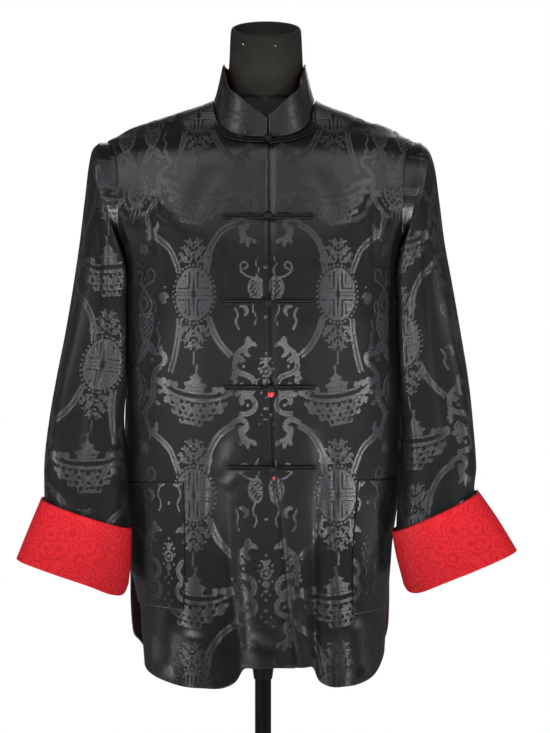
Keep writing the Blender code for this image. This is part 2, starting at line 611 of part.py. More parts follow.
def sleeve_grid(table, sign, around, along):
    """The armhole ring, drawn in a little, then the rings of the table with their folds."""
    uu, vv = np.meshgrid(around, along)
    rings = sleeve_point(table, sign, uu, vv, sleeve_folds(uu, vv))
    angle, z = armhole(sign, around)
    head = folded_body(angle, z)
    middle = head.mean(axis=0)
    inwards = middle - head
    inwards[:, 0] = 0
    inwards /= np.linalg.norm(inwards, axis=1, keepdims=True)
    head = head + inwards * 0.0004
    head[:, 0] += sign * 0.0006
    return np.concatenate([head[None], rings], axis=0)


def tube_from(points):
    """The triangles of a ring stack as a closed solid, both ends capped."""
    rings, sides = points.shape[:2]
    bm = bmesh.new()
    verts = [[bm.verts.new(p) for p in ring] for ring in points]
    for a, b in zip(verts, verts[1:]):
        for k in range(sides):
            n = (k + 1) % sides
            bm.faces.new((a[k], a[n], b[n], b[k]))
    bm.faces.new(verts[0][::-1])
    bm.faces.new(verts[-1])
    bmesh.ops.recalc_face_normals(bm, faces=bm.faces[:])
    for face in bm.faces:
        face.smooth = len(face.verts) == 4
    return bm


def turned(name, profile, sides, slot):
    """A solid of revolution about the vertical axis, from (radius, height) pairs."""
    turn = np.radians(np.arange(sides) * 360 / sides)
    rings = [[(r * math.cos(t), r * math.sin(t), z) for t in turn] for r, z in profile]
    bm = tube_from(np.array(rings))
    mesh = bpy.data.meshes.new(name)
    bm.to_mesh(mesh)
    bm.free()
    return place(name, mesh, slot)


def cord_ring(name, line, slot):
    """A closed loop of cord: two strands side by side along a line of (point, across) pairs."""
    count = len(line)
    strand = FROG_CORD * 1.06
    out = [p + a * strand for p, a in line]
    back = [p - a * strand for p, a in reversed(line)]
    run = [(line[-1][0] - line[-2][0]).normalized(), (line[0][0] - line[1][0]).normalized()]
    path = out + [line[-1][0] + run[0] * strand] + back + [line[0][0] + run[1] * strand]
    curve = bpy.data.curves.new(name, "CURVE")
    curve.dimensions = "3D"
    curve.bevel_depth = FROG_CORD
    curve.bevel_resolution = 1
    spline = curve.splines.new("POLY")
    spline.points.add(2 * count + 1)
    spline.use_cyclic_u = True
    for point, co in zip(spline.points, path):
        point.co = (*co, 1)
    helper = bpy.data.objects.new(name, curve)
    collection.objects.link(helper)
    mesh = bpy.data.meshes.new_from_object(helper)
    bpy.data.objects.remove(helper)
    bpy.data.curves.remove(curve)
    bm = bmesh.new()
    bm.from_mesh(mesh)
    bmesh.ops.remove_doubles(bm, verts=bm.verts[:], dist=1e-5)
    bmesh.ops.recalc_face_normals(bm, faces=bm.faces[:])
    bm.to_mesh(mesh)
    bm.free()
    mesh.materials.clear()
    return place(name, mesh, slot)


def frog_line(number, sign, near, far, count, panel):
    """Middle line of one arm of a frog, just clear of its panel, as (point, across) pairs."""
    z = FROG_Z[number]
    centre = float(front_edge(z))
    points, overs = [], []
    for share in np.linspace(0, 1, count):
        x = centre + sign * (near + (far - near) * share)
        height = z
        if number == 0:
            angle = float(angle_at(np.array(x), 1.345))
            for _ in range(3):
                height = float(neckline(abs(angle))) - NECK_FROG_BELOW
                angle = float(angle_at(np.array(x), height))
        angle = float(angle_at(np.array(x), height))
        top = Vector(folded_body(angle, height, 0.02))
        inwards = Vector(folded_body(angle, height)) - top
        inwards.normalize()
        over = (Vector(folded_body(angle, height + 0.002)) - Vector(folded_body(angle, height))).normalized()
        hits = [panel.ray_cast(top + over * off, inwards)[3] for off in (-FROG_CORD, 0, FROG_CORD)]
        reach = min(hit for hit in hits if hit)
        points.append(top + inwards * (reach - FROG_CORD - FROG_CLEAR))
        overs.append(over)
    line = []
    for k, (point, over) in enumerate(zip(points, overs)):
        ahead = points[min(k + 1, count - 1)] - points[max(k - 1, 0)]
        line.append((point, (over - over.project(ahead)).normalized()))
    return line


def faces_of(made):
    """The panel's faces, for seating what lies on it."""
    bm = bmesh.new()
    bm.from_mesh(made.data)
    tree = BVHTree.FromBMesh(bm)
    bm.free()
    return tree


def lap_share(x, z):
    """1 where the left front lies under the right one, down to 0 beside it."""
    return ease((front_edge(z) + LAP_END - x) / (LAP_END - LAP_COLUMNS[-1]))


def collar_points(out, from_low, from_top, neck_front, neck_back):
    """The band's outside, foot to top, on the columns of the fronts' and back's necklines."""
    middle = front_edge(CENTRE_NECK_Z)
    ends = [float(angle_at(middle + off, CENTRE_NECK_Z)) for off in (0.0012, LAP_END, -0.0012)]
    angles = np.concatenate([
        ends[:2], front_neck(1, neck_front), [90], back_neck(1, neck_back)[::-1], [180],
        back_neck(-1, neck_back), [-90], front_neck(-1, neck_front)[::-1], ends[2:],
    ])
    folded = np.abs(angles)
    foot_z = neckline(folded)
    foot = plain_body(angles, foot_z)
    run = np.gradient(foot[:, :2], axis=0)
    level = np.column_stack([run[:, 1], -run[:, 0]]) / np.linalg.norm(run, axis=1, keepdims=True)
    rows = []
    for share in np.linspace(0, 1, 4):
        inward = lean(folded) * share ** 0.8 + COLLAR_INSIDE - out
        height = from_low + (tall(folded) - from_top - from_low) * share
        rows.append(np.column_stack([foot[:, :2] - level * inward[:, None], foot_z + height]))
    return np.array(rows)


for old in list(bpy.data.objects):
    bpy.data.objects.remove(old)
collection = bpy.data.collections.new("tang_jacket")
bpy.context.scene.collection.children.link(collection)
cutters = bpy.data.collections.new("cutters")
bpy.context.scene.collection.children.link(cutters)
cutters.hide_render = True

damask = material("black_damask", (0.012, 0.012, 0.014), 0.42)
lining = material("red_lining", (0.62, 0.03, 0.05), 0.45)
cord = material("black_cord", (0.010, 0.010, 0.012), 0.5)
form_cover = material("form_cover", (0.018, 0.018, 0.020), 0.75)
stand_metal = material("stand_metal", (0.022, 0.022, 0.024), 0.4, 0.6)

# Fronts and back
low_rows = np.concatenate([np.linspace(0, 0.34, 8), np.linspace(0.42, 1, 7)])
high_rows = np.linspace(0, 1, 11)
front_columns = columns(8, 9)

places = front_places(-1, front_columns, low_rows, high_rows)
front_right = wall("front_right", places, -tuck(places[..., 0], places[..., 1]), CLOTH, damask)

places = front_places(1, front_columns, low_rows, high_rows)
flat = on_body(places)
lapped = LAP * lap_share(flat[..., 0], flat[..., 2])
front_left = wall("front_left", places, -lapped - tuck(places[..., 0], places[..., 1]), CLOTH, damask)

back_columns = columns(6, 8)
left_half, right_half = [back_places(side, back_columns, low_rows, high_rows) for side in (-1, 1)]
wall("back", np.concatenate([right_half[:, ::-1], left_half[:, 1:]], axis=1), 0.0, CLOTH, damask)

# Sleeves and cuffs
around = np.linspace(0, 360, 21)
sleeve_rows = np.concatenate([[0.04, 0.09, 0.15], np.arange(0.22, 0.87, 0.08), [0.93, 1.0]])
both = (("right", -1, SLEEVE_RIGHT, CUFF_RIGHT), ("left", 1, SLEEVE_LEFT, CUFF_LEFT))
for side, sign, table, cuff in both:
    cloth("sleeve_" + side, sleeve_grid(table, sign, around, sleeve_rows), CLOTH, damask,
          closed=True, flip=sign > 0)
    uu, vv = np.meshgrid(around, np.linspace(0, 1, 4))
    cloth("cuff_" + side, sleeve_point(cuff, sign, uu, vv), CLOTH, lining, closed=True, flip=sign < 0)

# Collar band and its red facing


neck_front = front_columns[(front_columns > 0) & (front_columns < NECK_SHARE)]
neck_back = back_columns[(back_columns > 0) & (back_columns < NECK_SHARE)]
band = collar_points(0.0, 0.0008, 0.0, neck_front, neck_back)
cloth("collar", band, CLOTH, damask)
facing = collar_points(-CLOTH - 0.0006, 0.0015, 0.0012, neck_front, neck_back)
cloth("collar_facing", facing, COLLAR_FACING, lining)

# Patch pockets, built from the fronts' own points
for side, row in zip(("right", "left"), POCKETS["rows"]):
    p = dict(zip(POCKETS["columns"], row))
    u, v = np.meshgrid(np.linspace(0, 1, 9), np.linspace(0, 1, 8))
    top = p["inner_top_z"] + (p["outer_top_z"] - p["inner_top_z"]) * u
    angle = p["inner"] + (p["outer"] - p["inner"]) * u
    z = p["low_z"] + (top - p["low_z"]) * v
    out = POCKET_CLOTH + 0.0009 - tuck(angle, z)
    wall("pocket_" + side, np.stack([angle, z], axis=-1), out, POCKET_CLOTH, damask)

# Frogs: a loop arm on the right front, a knot arm on the left front
right_faces, left_faces = faces_of(front_right), faces_of(front_left)
for number in range(5):
    loop = frog_line(number, -1, 0.0072, FROG_REACH, 7, right_faces)
    cord_ring(f"frog_loop_{number + 1}", loop, cord)
    arm = frog_line(number, 1, 0.0042, FROG_REACH, 7, left_faces)
    arm[0] = (arm[0][0] + Vector((0, -KNOT_RISE, 0)), arm[0][1])
    knot_half = cord_ring(f"frog_knot_{number + 1}", arm, cord)
    z = FROG_Z[number]
    middle_x = float(front_edge(z))
    height = z if number else float(neckline(0.0)) - NECK_FROG_BELOW
    stand_off = 2 * FROG_CORD + 0.0003 + KNOT_RADIUS * 0.78
    seat = folded_body(float(angle_at(np.array(middle_x), height)), height, stand_off)
    bm = bmesh.new()
    bmesh.ops.create_icosphere(bm, subdivisions=2, radius=KNOT_RADIUS)
    bmesh.ops.translate(bm, verts=bm.verts[:], vec=Vector(seat))
    ball = bpy.data.meshes.new("ball")
    bm.to_mesh(ball)
    bm.free()
    tool = bpy.data.objects.new(f"ball_{number + 1}", ball)
    cutters.objects.link(tool)
    tool.display_type = "WIRE"
    tool.hide_render = True
    join = knot_half.modifiers.new("Knot", "BOOLEAN")
    join.operation = "UNION"
    join.solver = "EXACT"
    join.object = tool

# Dress form and stand
sides = 24
turn = np.radians(np.arange(sides) * 360 / sides)
shoulders = []
for z in SHOULDER_RINGS:
    over = {name: float(body[name](z + FORM_BELOW)) for name in body}
    shoulders.append((z, (over["left"] + over["right"]) / 2, over["front"] - FORM_INSIDE,
                      over["back"] - FORM_INSIDE, over["middle"], over["power"], 0.0,
                      (over["right"] - over["left"]) / 2))
below = sum(row[0] < SHOULDER_RINGS[0] for row in FORM["rows"])
rings = []
for row in FORM["rows"][:below] + tuple(shoulders) + FORM["rows"][below:]:
    f = dict(zip(FORM["columns"], row))
    power = 2 / f["power"]
    across = np.sign(np.sin(turn)) * np.abs(np.sin(turn)) ** power
    fore = np.sign(np.cos(turn)) * np.abs(np.cos(turn)) ** power
    y = f["middle"] - np.where(fore > 0, f["front"], f["back"]) * fore
    x = f["side"] + f["width"] * across
    z = f["z"] + f["slant"] * RIM_SLANT * (y - f["middle"])
    rings.append(np.stack([x, y, z], axis=-1))
bm = tube_from(np.array(rings))
mesh = bpy.data.meshes.new("dress_form")
bm.to_mesh(mesh)
bm.free()
place("dress_form", mesh, form_cover)

# The jacket and its form hang a little to the side of the pole's axis.
for made in list(collection.objects) + list(cutters.objects):
    made.data.transform(Matrix.Translation((HANG_X, 0, 0)))


socket = ((0.0125, SOCKET_LOW_Z), (SOCKET_RADIUS, SOCKET_LOW_Z + 0.012), (SOCKET_RADIUS, 0.6996))
turned("stand_socket", socket, 28, stand_metal)
pole = ((POLE_RADIUS, BASE_HEIGHT + 0.0044), (POLE_RADIUS, SOCKET_LOW_Z - GAP))
turned("stand_pole", pole, 28, stand_metal)
plate = ((BASE_RADIUS - 0.001, 0.0), (BASE_RADIUS, 0.001), (BASE_RADIUS, 0.0065),
         (BASE_RADIUS - 0.003, 0.009), (0.060, BASE_HEIGHT + 0.001), (0.020, BASE_HEIGHT + 0.004))
turned("stand_base", plate, 48, stand_metal)
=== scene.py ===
import math

import bmesh
import bpy
import numpy as np
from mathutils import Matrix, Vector
from mathutils.bvhtree import BVHTree


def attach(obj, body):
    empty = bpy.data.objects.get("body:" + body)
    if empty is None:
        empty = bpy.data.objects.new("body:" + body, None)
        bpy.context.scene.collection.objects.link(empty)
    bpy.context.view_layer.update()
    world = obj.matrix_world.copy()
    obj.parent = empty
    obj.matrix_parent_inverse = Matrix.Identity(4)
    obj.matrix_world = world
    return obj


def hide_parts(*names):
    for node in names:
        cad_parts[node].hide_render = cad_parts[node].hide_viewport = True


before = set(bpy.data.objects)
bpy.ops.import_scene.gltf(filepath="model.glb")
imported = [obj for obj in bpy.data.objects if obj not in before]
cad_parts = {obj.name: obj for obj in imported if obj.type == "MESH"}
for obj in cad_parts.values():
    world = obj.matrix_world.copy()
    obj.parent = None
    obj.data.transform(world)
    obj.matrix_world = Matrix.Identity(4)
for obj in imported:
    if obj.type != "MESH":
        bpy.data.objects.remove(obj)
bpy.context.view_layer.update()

scene = bpy.context.scene
print("frame loaded:", len(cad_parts), "nodes")

# Camera at the front, a little under chest height
view = {"place": (0.004, -2.2, 1.09), "lens": 79.45, "sensor": 36, "shift": (9 / 733, -41.5 / 733)}
cameraData = bpy.data.cameras.new("front camera")
cameraData.lens = view["lens"]
cameraData.sensor_width = view["sensor"]
cameraData.shift_x, cameraData.shift_y = view["shift"]
camera = bpy.data.objects.new("front camera", cameraData)
camera.location = view["place"]
camera.rotation_euler = (math.pi / 2, 0, 0)
scene.collection.objects.link(camera)
scene.camera = camera

# Soft studio light: a box high at each side, low ones round the front and one behind.
# Each has its place, what it aims at, its size, power and spread in degrees.
lamps = {
    "left high": ((-1.75, -1.75, 3.0), (0, 0, 1.2), (1.1, 2.2), 32, 180),
    "right high": ((1.75, -1.75, 2.9), (0, 0, 1.2), (1.1, 2.2), 27, 180),
    "left level": ((-1.5, -1.7, 1.02), (0, 0, 1.02), (0.9, 0.4), 1.5, 180),
    "right level": ((1.5, -1.7, 1.02), (0, 0, 1.02), (0.9, 0.4), 1.3, 180),
    "low front": ((0, -1.5, 0.06), (0, -0.15, 1.03), (2.6, 0.35), 3.6, 19),
    "low left": ((-1.6, -0.95, 0.08), (0, 0, 1.07), (0.9, 0.5), 1.3, 17),
    "low right": ((1.6, -0.95, 0.08), (0, 0, 1.07), (0.9, 0.5), 1.45, 17),
    "back": ((0.4, 2.8, 2.6), (0, 0, 1.1), (2.0, 1.4), 30, 180),
}
for name, (place, aim, size, power, spread) in lamps.items():
    lightData = bpy.data.lights.new(name, "AREA")
    lightData.shape = "RECTANGLE"
    lightData.size, lightData.size_y = size
    lightData.energy = power
    lightData.spread = math.radians(spread)
    light = bpy.data.objects.new(name, lightData)
    light.location = place
    light.rotation_euler = (Vector(aim) - light.location).to_track_quat("-Z", "Y").to_euler()
    scene.collection.objects.link(light)


# Materials
def hexColour(code):
    # An sRGB hex value as linear light.
    parts = [int(code[k:k + 2], 16) / 255 for k in (1, 3, 5)]
    return tuple(c / 12.92 if c <= 0.04045 else ((c + 0.055) / 1.055) ** 2.4 for c in parts) + (1.0,)


def addNode(kind, settings=None, links=None):
    # A node in the tree at hand with its settings, and links from other nodes' outputs to its inputs.
    node = tree.nodes.new("ShaderNode" + kind)
    for key, value in (settings or {}).items():
        if isinstance(key, int) or key in node.inputs:
            node.inputs[key].default_value = value
        else:
            setattr(node, key, value)
    for key, output in (links or {}).items():
        tree.links.new(output, node.inputs[key])
    return node


def newMaterial(name):
    # An empty material and its node tree.
    made = bpy.data.materials.new(name)
    made.use_nodes = True
    made.node_tree.nodes.clear()
    return made, made.node_tree


# A white room that lights the cloth less than the camera sees of it
studio = {"fill": 0.10, "seen": 1.0}
world = bpy.data.worlds.new("studio")
scene.world = world
world.use_nodes = True
tree = world.node_tree
backdrop = tree.nodes["Background"]
backdrop.inputs["Color"].default_value = (1, 1, 1, 1)
sight = addNode("LightPath")
dimmer = addNode("MapRange", {"To Min": studio["fill"], "To Max": studio["seen"]},
                 {"Value": sight.outputs["Is Camera Ray"]})
tree.links.new(dimmer.outputs[0], backdrop.inputs["Strength"])
scene.view_settings.view_transform = "Standard"

# Silk damask, black on black: warp satin ground and weft satin figure. The two faces lay their
# threads across each other, so one shines where the other goes dark.
# the figure's base colour is lighter than the ground's although both are black thread: partly painted sheen
# of the weft satin, on top of its real gleam
damaskLook = {"ground": "#101012", "figure": "#26262a", "groundRough": 0.38, "figureRough": 0.42,
              "edge": 0.22, "threadMm": 0.9, "across": 0.80, "quarterTurn": 0.25}
damask, tree = newMaterial("black silk damask, woven satin and weft figure")
place = addNode("UVMap", {"uv_map": "cloth"}).outputs[0]
figure = addNode("Attribute", {"attribute_name": "motif"})
mask = addNode("MapRange", {"From Min": -damaskLook["edge"], "From Max": damaskLook["edge"]},
               {"Value": figure.outputs["Fac"]}).outputs[0]
# ground and figure colours: the figure's lighter colour is partly painted sheen
colour = addNode("Mix", {"data_type": "RGBA", 6: hexColour(damaskLook["ground"]),
                         7: hexColour(damaskLook["figure"])}, {0: mask})
# threads too fine to show are drawn at 0.9 mm, twice their size
ribs = {"Scale": 100 * math.pi / damaskLook["threadMm"], "Distortion": 0.6, "Detail": 1.0}
weft = addNode("TexWave", {**ribs, "bands_direction": "Y"}, {"Vector": place})
warp = addNode("TexWave", {**ribs, "bands_direction": "X"}, {"Vector": place})
threads = addNode("Mix", {"data_type": "FLOAT"}, {0: mask, 2: warp.outputs["Fac"], 3: weft.outputs["Fac"]})
slub = addNode("TexNoise", {"Scale": 160.0, "Detail": 3.0}, {"Vector": place})
# large cloudy differences of tone over the cloth, at random
wearAndSheen = addNode("TexNoise", {"Scale": 9.0, "Detail": 2.0}, {"Vector": place})
speckle = addNode("Math", {"operation": "ADD"}, {0: slub.outputs["Fac"], 1: wearAndSheen.outputs["Fac"]})
tint = addNode("MapRange", {"From Min": 0.6, "From Max": 1.4, "To Min": 0.82, "To Max": 1.18},
               {"Value": speckle.outputs[0]})
shaded = addNode("VectorMath", {"operation": "SCALE"}, {0: colour.outputs[2], 3: tint.outputs[0]})
rough = addNode("MapRange", {"To Min": damaskLook["groundRough"], "To Max": damaskLook["figureRough"]},
                {"Value": mask})
turn = addNode("Math", {"operation": "MULTIPLY", 1: damaskLook["quarterTurn"]}, {0: mask})
relief = addNode("Math", {"operation": "MULTIPLY_ADD", 1: 0.35}, {0: threads.outputs[0], 2: mask})
rumple = addNode("TexNoise", {"Scale": 22.0, "Detail": 2.0, "Roughness": 0.45}, {"Vector": place})
soft = addNode("Bump", {"Strength": 0.22, "Distance": 0.0012}, {"Height": rumple.outputs["Fac"]})
bump = addNode("Bump", {"Strength": 0.35, "Distance": 0.00025},
               {"Height": relief.outputs[0], "Normal": soft.outputs[0]})
along = addNode("Tangent", {"direction_type": "UV_MAP", "uv_map": "cloth"})
shader = addNode("BsdfPrincipled",
                 {"Anisotropic": damaskLook["across"], "IOR": 1.55, "Specular IOR Level": 0.50},
                 {"Base Color": shaded.outputs[0], "Roughness": rough.outputs[0],
                  "Anisotropic Rotation": turn.outputs[0], "Normal": bump.outputs[0],
                  "Tangent": along.outputs[0]})
addNode("OutputMaterial", links={0: shader.outputs[0]})

# Red silk lining, a light satin with a tone-on-tone scroll: bright where it turns to the light
liningLook = {"red": "#bf242b", "scroll": "#ad1d25", "rough": 0.40, "scrollMm": 22, "rings": 26.0}
lining, tree = newMaterial("red silk lining, woven satin with small scrolls")
place = addNode("UVMap", {"uv_map": "cloth"}).outputs[0]
drift = addNode("TexNoise", {"Scale": 60.0, "Detail": 1.0}, {"Vector": place})
bend = addNode("VectorMath", {"operation": "MULTIPLY_ADD", 1: (0.010, 0.010, 0.0)},
               {0: drift.outputs["Color"], 2: place})
curls = addNode("TexVoronoi", {"feature": "F1", "Scale": 1000 / liningLook["scrollMm"]},
                {"Vector": bend.outputs[0]})
wide = addNode("Math", {"operation": "MULTIPLY", 1: liningLook["rings"]}, {0: curls.outputs["Distance"]})
rings = addNode("Math", {"operation": "SINE"}, {0: wide.outputs[0]})
soft = addNode("MapRange", {"From Min": 0.1, "From Max": 0.6}, {"Value": rings.outputs[0]})
colour = addNode("Mix", {"data_type": "RGBA", 6: hexColour(liningLook["red"]),
                         7: hexColour(liningLook["scroll"])}, {0: soft.outputs[0]})
threads = addNode("TexWave", {"Scale": 330.0, "Distortion": 1.0, "Detail": 2.0,
                              "bands_direction": "DIAGONAL"}, {"Vector": place})
bump = addNode("Bump", {"Strength": 0.25, "Distance": 0.0002}, {"Height": threads.outputs["Fac"]})
shader = addNode("BsdfPrincipled", {"Roughness": liningLook["rough"], "Anisotropic": 0.3, "IOR": 1.5,
                                    "Specular IOR Level": 0.05},
                 {"Base Color": colour.outputs[2], "Normal": bump.outputs[0]})
addNode("OutputMaterial", links={0: shader.outputs[0]})

# Bias-cut satin cord, turned and drawn tight: fine slanting ribs with a soft gleam, their crests drawn
# lighter as painted sheen
cordLook = {"black": "#0a0a0b", "wearAndSheen": "#141416", "ribMm": 0.8}
cordSatin, tree = newMaterial("black satin cord, bias cut and turned")
place = addNode("TexCoord").outputs["Object"]
ribs = addNode("TexWave", {"Scale": 314 / cordLook["ribMm"], "Distortion": 1.5,
                           "bands_direction": "DIAGONAL"}, {"Vector": place}).outputs["Fac"]
# the ribs' crests are drawn lighter than their hollows: painted sheen on the ribs
colour = addNode("Mix", {"data_type": "RGBA", 6: hexColour(cordLook["black"]),
                         7: hexColour(cordLook["wearAndSheen"])}, {0: ribs})
bump = addNode("Bump", {"Strength": 0.4, "Distance": 0.0002}, {"Height": ribs})
shader = addNode("BsdfPrincipled", {"Roughness": 0.62, "IOR": 1.45, "Specular IOR Level": 0.2},
                 {"Base Color": colour.outputs[2], "Normal": bump.outputs[0]})
addNode("OutputMaterial", links={0: shader.outputs[0]})

# Red sewing thread, twisted from fine silk
threadLook = {"dark": "#b3202c", "light": "#d43a44"}
threadRed, tree = newMaterial("red sewing thread, twisted")
place = addNode("TexCoord").outputs["Object"]
twist = addNode("TexWave", {"Scale": 900.0, "bands_direction": "DIAGONAL"}, {"Vector": place})
colour = addNode("Mix", {"data_type": "RGBA", 6: hexColour(threadLook["dark"]),
                         7: hexColour(threadLook["light"])}, {0: twist.outputs["Fac"]})
shader = addNode("BsdfPrincipled", {"Roughness": 0.5}, {"Base Color": colour.outputs[2]})
addNode("OutputMaterial", links={0: shader.outputs[0]})

# Dress form cover, black jersey glued over a moulded shell: matt, faintly mottled
formLook = {"black": "#252522", "light": "#363632", "stitchMm": 1.6}
formCover, tree = newMaterial("black jersey cover, knitted and glued on")
place = addNode("TexCoord").outputs["Object"]
knit = addNode("TexNoise", {"Scale": 1000 / formLook["stitchMm"], "Detail": 2.0}, {"Vector": place})
cloudy = addNode("TexNoise", {"Scale": 22.0, "Detail": 3.0}, {"Vector": place})
both = addNode("Math", {"operation": "MULTIPLY"}, {0: knit.outputs["Fac"], 1: cloudy.outputs["Fac"]})
spread = addNode("MapRange", {"From Min": 0.12, "From Max": 0.42}, {"Value": both.outputs[0]})
colour = addNode("Mix", {"data_type": "RGBA", 6: hexColour(formLook["black"]),
                         7: hexColour(formLook["light"])}, {0: spread.outputs[0]})
bump = addNode("Bump", {"Strength": 0.3, "Distance": 0.0003}, {"Height": knit.outputs["Fac"]})
shader = addNode("BsdfPrincipled", {"Roughness": 0.85, "IOR": 1.4, "Specular IOR Level": 0.3},
                 {"Base Color": colour.outputs[2], "Normal": bump.outputs[0]})
addNode("OutputMaterial", links={0: shader.outputs[0]})

# Steel tube, powder coated black: satin with faint streaks along the tube
metalLook = {"black": "#282826", "streak": "#363634", "grainMm": 0.8}
standMetal, tree = newMaterial("black steel, satin powder coat")
place = addNode("TexCoord").outputs["Object"]
stretch = addNode("Mapping", {"Scale": (1.0, 1.0, 0.03)}, {"Vector": place})
streaks = addNode("TexNoise", {"Scale": 420.0, "Detail": 2.0}, {"Vector": stretch.outputs[0]})
spread = addNode("MapRange", {"From Min": 0.4, "From Max": 0.7}, {"Value": streaks.outputs["Fac"]})
colour = addNode("Mix", {"data_type": "RGBA", 6: hexColour(metalLook["black"]),
                         7: hexColour(metalLook["streak"])}, {0: spread.outputs[0]})
peel = addNode("TexNoise", {"Scale": 1000 / metalLook["grainMm"]}, {"Vector": place})
bump = addNode("Bump", {"Strength": 0.12, "Distance": 0.0002}, {"Height": peel.outputs["Fac"]})
shader = addNode("BsdfPrincipled", {"Roughness": 0.55, "IOR": 1.35, "Specular IOR Level": 0.25},
                 {"Base Color": colour.outputs[2], "Normal": bump.outputs[0]})
addNode("OutputMaterial", links={0: shader.outputs[0]})

# Steel pin heads, nickel plated and dulled by handling
pinSteel, tree = newMaterial("pin steel, nickel plated")
dull = addNode("TexNoise", {"Scale": 900.0}, {"Vector": addNode("TexCoord").outputs["Object"]})
rough = addNode("MapRange", {"To Min": 0.2, "To Max": 0.4}, {"Value": dull.outputs["Fac"]})
shader = addNode("BsdfPrincipled", {"Metallic": 1.0, "Base Color": hexColour("#d8d6d0")},
                 {"Roughness": rough.outputs[0]})
addNode("OutputMaterial", links={0: shader.outputs[0]})

# Pale paper floor, rolled out and matt
paper, tree = newMaterial("pale floor, matt paper")
fibre = addNode("TexNoise", {"Scale": 40.0}, {"Vector": addNode("TexCoord").outputs["Object"]})
colour = addNode("Mix", {"data_type": "RGBA", 6: hexColour("#e9e8e6"), 7: hexColour("#efeeec")},
                 {0: fibre.outputs["Fac"]})
shader = addNode("BsdfPrincipled", {"Roughness": 0.9, "Emission Color": (1, 1, 1, 1),
                                    "Emission Strength": 0.3}, {"Base Color": colour.outputs[2]})
addNode("OutputMaterial", links={0: shader.outputs[0]})
print("materials made")


# Damask figure, drawn as distances in millimetres. X runs from the fish column (0) to the roundel
# column (94) and mirrors there, Y repeats. Negative is inside the figure.
repeat = {"half": 94.0, "period": 259.0, "step": 0.5}
gridX = np.arange(0, repeat["half"] + 0.01, repeat["step"])
gridY = np.arange(-repeat["period"] / 2, repeat["period"] / 2 + 0.01, repeat["step"])
field = np.full((len(gridY), len(gridX)), 6.0)


def patches(x0, x1, y0, y1):
    # The parts of the field near a box, with the box's own Y there.
    for shift in (-repeat["period"], 0.0, repeat["period"]):
        rows = np.where((gridY >= y0 + shift - 2.5) & (gridY <= y1 + shift + 2.5))[0]
        columns = np.where((gridX >= x0 - 2.5) & (gridX <= x1 + 2.5))[0]
        if len(rows) and len(columns):
            part = np.s_[rows[0]:rows[-1] + 1, columns[0]:columns[-1] + 1]
            yield part, gridX[part[1]][None, :], gridY[part[0]][:, None] - shift


def toLine(x, y, path):
    # Distance to a line through points.
    near = np.full(np.broadcast(x, y).shape, 99.0)
    for (ax, ay), (bx, by) in zip(path, path[1:]):
        dx, dy = bx - ax, by - ay
        t = np.clip(((x - ax) * dx + (y - ay) * dy) / max(dx * dx + dy * dy, 1e-9), 0, 1)
        near = np.minimum(near, np.hypot(x - ax - t * dx, y - ay - t * dy))
    return near


def inside(x, y, path):
    # Whether a place is inside a closed outline.
    odd = np.zeros(np.broadcast(x, y).shape, bool)
    for (ax, ay), (bx, by) in zip(path, path[1:] + path[:1]):
        if ay != by:
            odd ^= ((y > min(ay, by)) & (y <= max(ay, by))) & (x < ax + (y - ay) * (bx - ax) / (by - ay))
    return odd


def box(path, grow):
    # The box round a line, grown a little.
    xs, ys = [p[0] for p in path], [p[1] for p in path]
    return min(xs) - grow, max(xs) + grow, min(ys) - grow, max(ys) + grow


def stroke(path, width):
    # A line of even width.
    for part, x, y in patches(*box(path, width)):
        field[part] = np.minimum(field[part], toLine(x, y, path) - width / 2)


def blob(path, netting=0.0):
    # A filled outline; with a netting it is filled by crossed lines that far apart.
    path = list(path)
    for part, x, y in patches(*box(path, 1)):
        edge = toLine(x, y, path + path[:1])
        edge = np.where(inside(x, y, path), -edge, edge)
        if netting:
            mesh = [np.abs((x + s * y) % netting - netting / 2) / 1.2 - 0.5 for s in (-1.0, 1.0)]
            edge = np.maximum(edge, np.minimum(*mesh))
        field[part] = np.minimum(field[part], edge)


def dot(x, y, radius):
    # A round spot.
    for part, gx, gy in patches(x - radius, x + radius, y - radius, y + radius):
        field[part] = np.minimum(field[part], np.hypot(gx - x, gy - y) - radius)


def arc(x, y, rx, ry, start, stop, count=24):
    # Points on an ellipse between two angles.
    turns = np.radians(np.linspace(start, stop, count))
    return [(x + rx * math.cos(t), y + ry * math.sin(t)) for t in turns]


def spiral(x, y, wide, narrow, start, turns, count=26):
    # Points on a spiral that narrows as it turns.
    points = []
    for k in range(count + 1):
        r, t = wide + (narrow - wide) * k / count, math.radians(start + 360 * turns * k / count)
        points.append((x + r * math.cos(t), y + r * math.sin(t)))
    return points


def curve(points, steps=6):
    # A smooth line through points.
    p = np.array([points[0]] + list(points) + [points[-1]], float)
    line = []
    for a, b, c, d in zip(p, p[1:], p[2:], p[3:]):
        for t in np.linspace(0, 1, steps, endpoint=False):
            line.append(tuple(0.5 * (2 * b + (c - a) * t + (2 * a - 5 * b + 4 * c - d) * t ** 2
                                     + (3 * b - a - 3 * c + d) * t ** 3)))
    return line + [tuple(points[-1])]


def beside(line, off):
    # The line moved sideways.
    p = np.array(line)
    run = np.gradient(p, axis=0)
    run /= np.linalg.norm(run, axis=1, keepdims=True)
    return [tuple(q) for q in p + off * np.column_stack([-run[:, 1], run[:, 0]])]


def leaf(x, y, angle, length, width):
    # A pointed leaf from its foot.
    c, s = math.cos(math.radians(angle)), math.sin(math.radians(angle))
    shape = [(0, 0), (0.3, 0.5), (0.62, 0.42), (1, 0), (0.62, -0.42), (0.3, -0.5)]
    blob([(x + a * length * c - b * width * s, y + a * length * s + b * width * c) for a, b in shape])


def crescent(x, y, radius, start, stop, thick, thin=0.6):
    # A curl that swells in its middle.
    for k in range(25):
        t = math.radians(start + (stop - start) * k / 24)
        wide = thin + (thick - thin) * math.sin(math.pi * k / 24) ** 0.8
        dot(x + radius * math.cos(t), y + radius * math.sin(t), wide)


